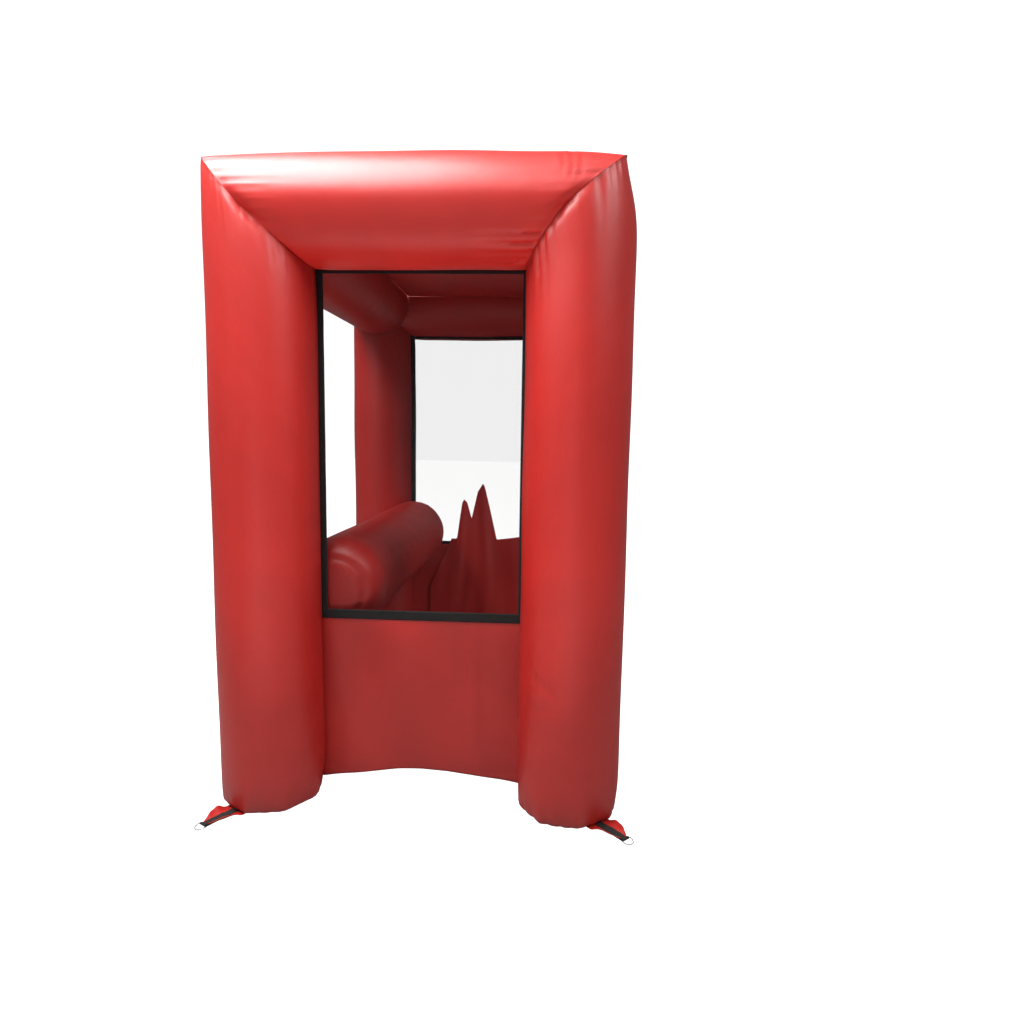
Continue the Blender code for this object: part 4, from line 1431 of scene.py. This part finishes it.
@dataclass
class Blower:
    """The blower: two housing halves, collar, grille, fan wheel, motor, handle, feet and switch."""

    screws: int = 9
    screw_radius: float = 4.5 * MM

    def build(self) -> None:
        """Dresses the frame's pieces and adds the screws along the housing's rim."""
        nodes = bpy.data.objects
        for side in ("left", "right"):
            soften(nodes[f"blower_housing_{side}"], 6 * MM, 60)
            dress(nodes[f"blower_housing_{side}"], FINISHES.housing)
        for name, width in (
            ("outlet_collar", 1.5 * MM),
            ("inlet_grille", 1.0 * MM),
            ("switch_box", 3.0 * MM),
            ("mains_inlet", 3.0 * MM),
            ("rocker", 0.8 * MM),
            ("impeller", 0.6 * MM),
        ):
            soften(nodes[name], width)
            dress(nodes[name], FINISHES.dark)
        dress(nodes["carrying_handle"], FINISHES.dark)
        for number in range(1, 5):
            soften(nodes[f"blower_foot_{number}"], 2 * MM)
            dress(nodes[f"blower_foot_{number}"], FINISHES.rubber)
        for number in range(1, 4):
            dress(nodes[f"inlet_pin_{number}"], FINISHES.zinc)
        dress(nodes["motor"], FINISHES.zinc)
        self.build_screws()

    def build_screws(self) -> None:
        """Pan-head screws that hold the right half."""
        low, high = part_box("blower_housing_right")
        radius = (high.z - low.z) / 2
        centre = Vector((high.x, high.y - radius, high.z - radius))
        work = bmesh.new()
        for i in range(self.screws):
            angle = math.radians(-70 + 240 * i / (self.screws - 1))
            ring = radius - 15 * MM
            spot = centre + Vector((0, ring * math.cos(angle), ring * math.sin(angle)))
            head = Matrix.Translation(spot) @ Matrix.Diagonal((2.4 * MM, 1, 1, 1))
            size = Matrix.Diagonal((1, self.screw_radius, self.screw_radius, 1))
            bmesh.ops.create_icosphere(work, subdivisions=3, radius=1.0, matrix=head @ size)
        mesh = bpy.data.meshes.new("housing_screws")
        work.to_mesh(mesh)
        work.free()
        mesh.shade_smooth()
        piece = bpy.data.objects.new("housing_screws", mesh)
        bpy.context.scene.collection.objects.link(piece)
        settle(dress(piece, FINISHES.zinc))


# Studio


@dataclass
class Studio:
    """The pale floor, soft lights and the camera."""

    floor_colour: str = "#B8B7B5"
    floor_glow: float = 1.2
    backdrop: float = 1.3
    ceiling_power: float = 165.0
    front_power: float = 9.5
    low_power: float = 8.0
    side_power: float = 5.0
    right_power: float = 80.0
    sky_power: float = 1.0
    room: float = 0.20
    lens: float = 23.95
    stand: tuple[float, float, float] = (0.469, -3.345, 1.384)
    yaw: float = -3.08
    pitch: float = 6.58
    roll: float = 0.917

    def build(self) -> None:
        """Builds the floor, the lights and the camera."""
        self.build_floor()
        self.build_lights()
        self.build_camera()

    def build_floor(self) -> None:
        """A wide, smooth floor just under the booth."""
        mesh = bpy.data.meshes.new("floor")
        half = 30.0
        corners = [(-half, -half), (half, -half), (half, half), (-half, half)]
        mesh.from_pydata([(x, y, -0.5 * MM) for x, y in corners], [], [(0, 1, 2, 3)])
        floor = bpy.data.objects.new("floor", mesh)
        bpy.context.scene.collection.objects.link(floor)
        material = bpy.data.materials.new("painted_studio_floor")
        material.use_nodes = True
        tree = material.node_tree
        tree.nodes.clear()
        # Bright to the eye, but it throws little light back up onto the booth
        paint = add_node(
            tree,
            "ShaderNodeBsdfPrincipled",
            {
                "Base Color": linear(self.floor_colour),
                "Roughness": 0.95,
                "Specular IOR Level": 0.1,
                "Emission Color": linear("#FFFFFF"),
                "Emission Strength": self.floor_glow,
            },
        )
        dim = add_node(tree, "ShaderNodeBsdfDiffuse", {"Color": linear("#A3A19F")})
        seen = add_node(tree, "ShaderNodeLightPath").outputs["Is Camera Ray"]
        mix = add_node(
            tree, "ShaderNodeMixShader", links={0: seen, 1: dim.outputs[0], 2: paint.outputs[0]}
        )
        add_node(tree, "ShaderNodeOutputMaterial", links={"Surface": mix.outputs[0]})
        floor.data.materials.append(material)

    def add_light(
        self, name: str, size: tuple, power: float, place: tuple, aim: tuple
    ) -> bpy.types.Object:
        """Hangs a soft box.

        Args:
            name: The light's name.
            size: Its width and length.
            power: Its power in watts.
            place: Where it hangs.
            aim: What it points at.

        Returns:
            The light.
        """
        lamp = bpy.data.lights.new(name, "AREA")
        lamp.shape = "RECTANGLE"
        lamp.size, lamp.size_y = size
        lamp.energy = power
        light = bpy.data.objects.new(name, lamp)
        light.location = place
        light.rotation_euler = (Vector(aim) - Vector(place)).to_track_quat("-Z", "Y").to_euler()
        bpy.context.scene.collection.objects.link(light)
        return light

    def build_lights(self) -> None:
        """Boxes overhead, in front, low down and at both sides, a sky panel and an even pale room."""
        top, aim = (-1.0, -1.5, 3.65), (-0.65, -0.9, 2.3)
        self.add_light("overhead_box", (1.9, 1.5), self.ceiling_power, top, aim)
        self.add_light("front_box", (1.2, 2.6), self.front_power, (-0.5, -5.0, 0.5), (0, -0.9, 1.9))
        low = self.add_light("low_box", (1.6, 0.6), self.low_power, (0, -1.75, 0.06), (0, -1.0, 2.0))
        low.data.spread = math.radians(75)
        low.visible_camera = False
        low.visible_glossy = False
        self.add_light("left_box", (1.2, 2.6), self.side_power, (-4.2, -4.4, 2.2), (0, -0.9, 1.4))
        self.add_light("right_box", (1.6, 1.6), self.right_power, (3.0, -2.4, 4.2), (0.6, -0.9, 1.9))
        sun = bpy.data.lights.new("sky_panel", "SUN")
        sun.energy = self.sky_power
        sun.angle = math.radians(70)
        light = bpy.data.objects.new("sky_panel", sun)
        light.rotation_euler = (Vector((0.25, 0.35, -1))).to_track_quat("-Z", "Y").to_euler()
        bpy.context.scene.collection.objects.link(light)
        world = bpy.data.worlds.new("pale_room")
        world.use_nodes = True
        tree = world.node_tree
        sky = tree.nodes["Background"]
        sky.inputs["Color"].default_value = linear("#FFFFFF")
        seen = add_node(tree, "ShaderNodeLightPath").outputs["Is Camera Ray"]
        strength = add_node(
            tree,
            "ShaderNodeMapRange",
            {"To Min": self.room, "To Max": self.backdrop},
            {"Value": seen},
        )
        tree.links.new(strength.outputs["Result"], sky.inputs["Strength"])
        bpy.context.scene.world = world
        bpy.context.scene.view_settings.view_transform = "Standard"

    def build_camera(self) -> None:
        """A camera at a standing person's chest height, a little right of the booth's middle."""
        lens = bpy.data.cameras.new("camera")
        lens.sensor_width = 36.0
        lens.lens = self.lens
        camera = bpy.data.objects.new("camera", lens)
        yaw, pitch, roll = (math.radians(part) for part in (self.yaw, self.pitch, self.roll))
        forward = Vector(
            (
                math.sin(yaw) * math.cos(pitch),
                math.cos(yaw) * math.cos(pitch),
                -math.sin(pitch),
            )
        )
        right = forward.cross(Vector((0, 0, 1))).normalized()
        up = right.cross(forward)
        level = right * math.cos(roll) + up * math.sin(roll)
        head = up * math.cos(roll) - right * math.sin(roll)
        turn = Matrix((level, head, -forward)).transposed().to_4x4()
        camera.matrix_world = Matrix.Translation(self.stand) @ turn
        bpy.context.scene.collection.objects.link(camera)
        bpy.context.scene.camera = camera


def main() -> None:
    """Loads the frame, builds every sub-assembly on it and sets the studio."""
    logging.basicConfig(level=logging.INFO, format="%(name)s %(message)s")
    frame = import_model()
    joints = {joint["name"]: joint for joint in frame["joints"]}
    Studio().build()
    tubes = InflatedFrame()
    tubes.build()
    for end_name, end in tubes.ends.items():
        WindowWall(end_name, end).build()
    Enclosure().build()
    Bolster().build(tubes)
    SlackLiner().build()
    for end_name in tubes.ends:
        for side_name in tubes.sides:
            Anchor(f"{end_name}_{side_name}").build(joints)
    DeflationZip().build()
    IntakeSleeve().build(tubes)
    Blower().build()


if __name__ == "__main__":
    main()
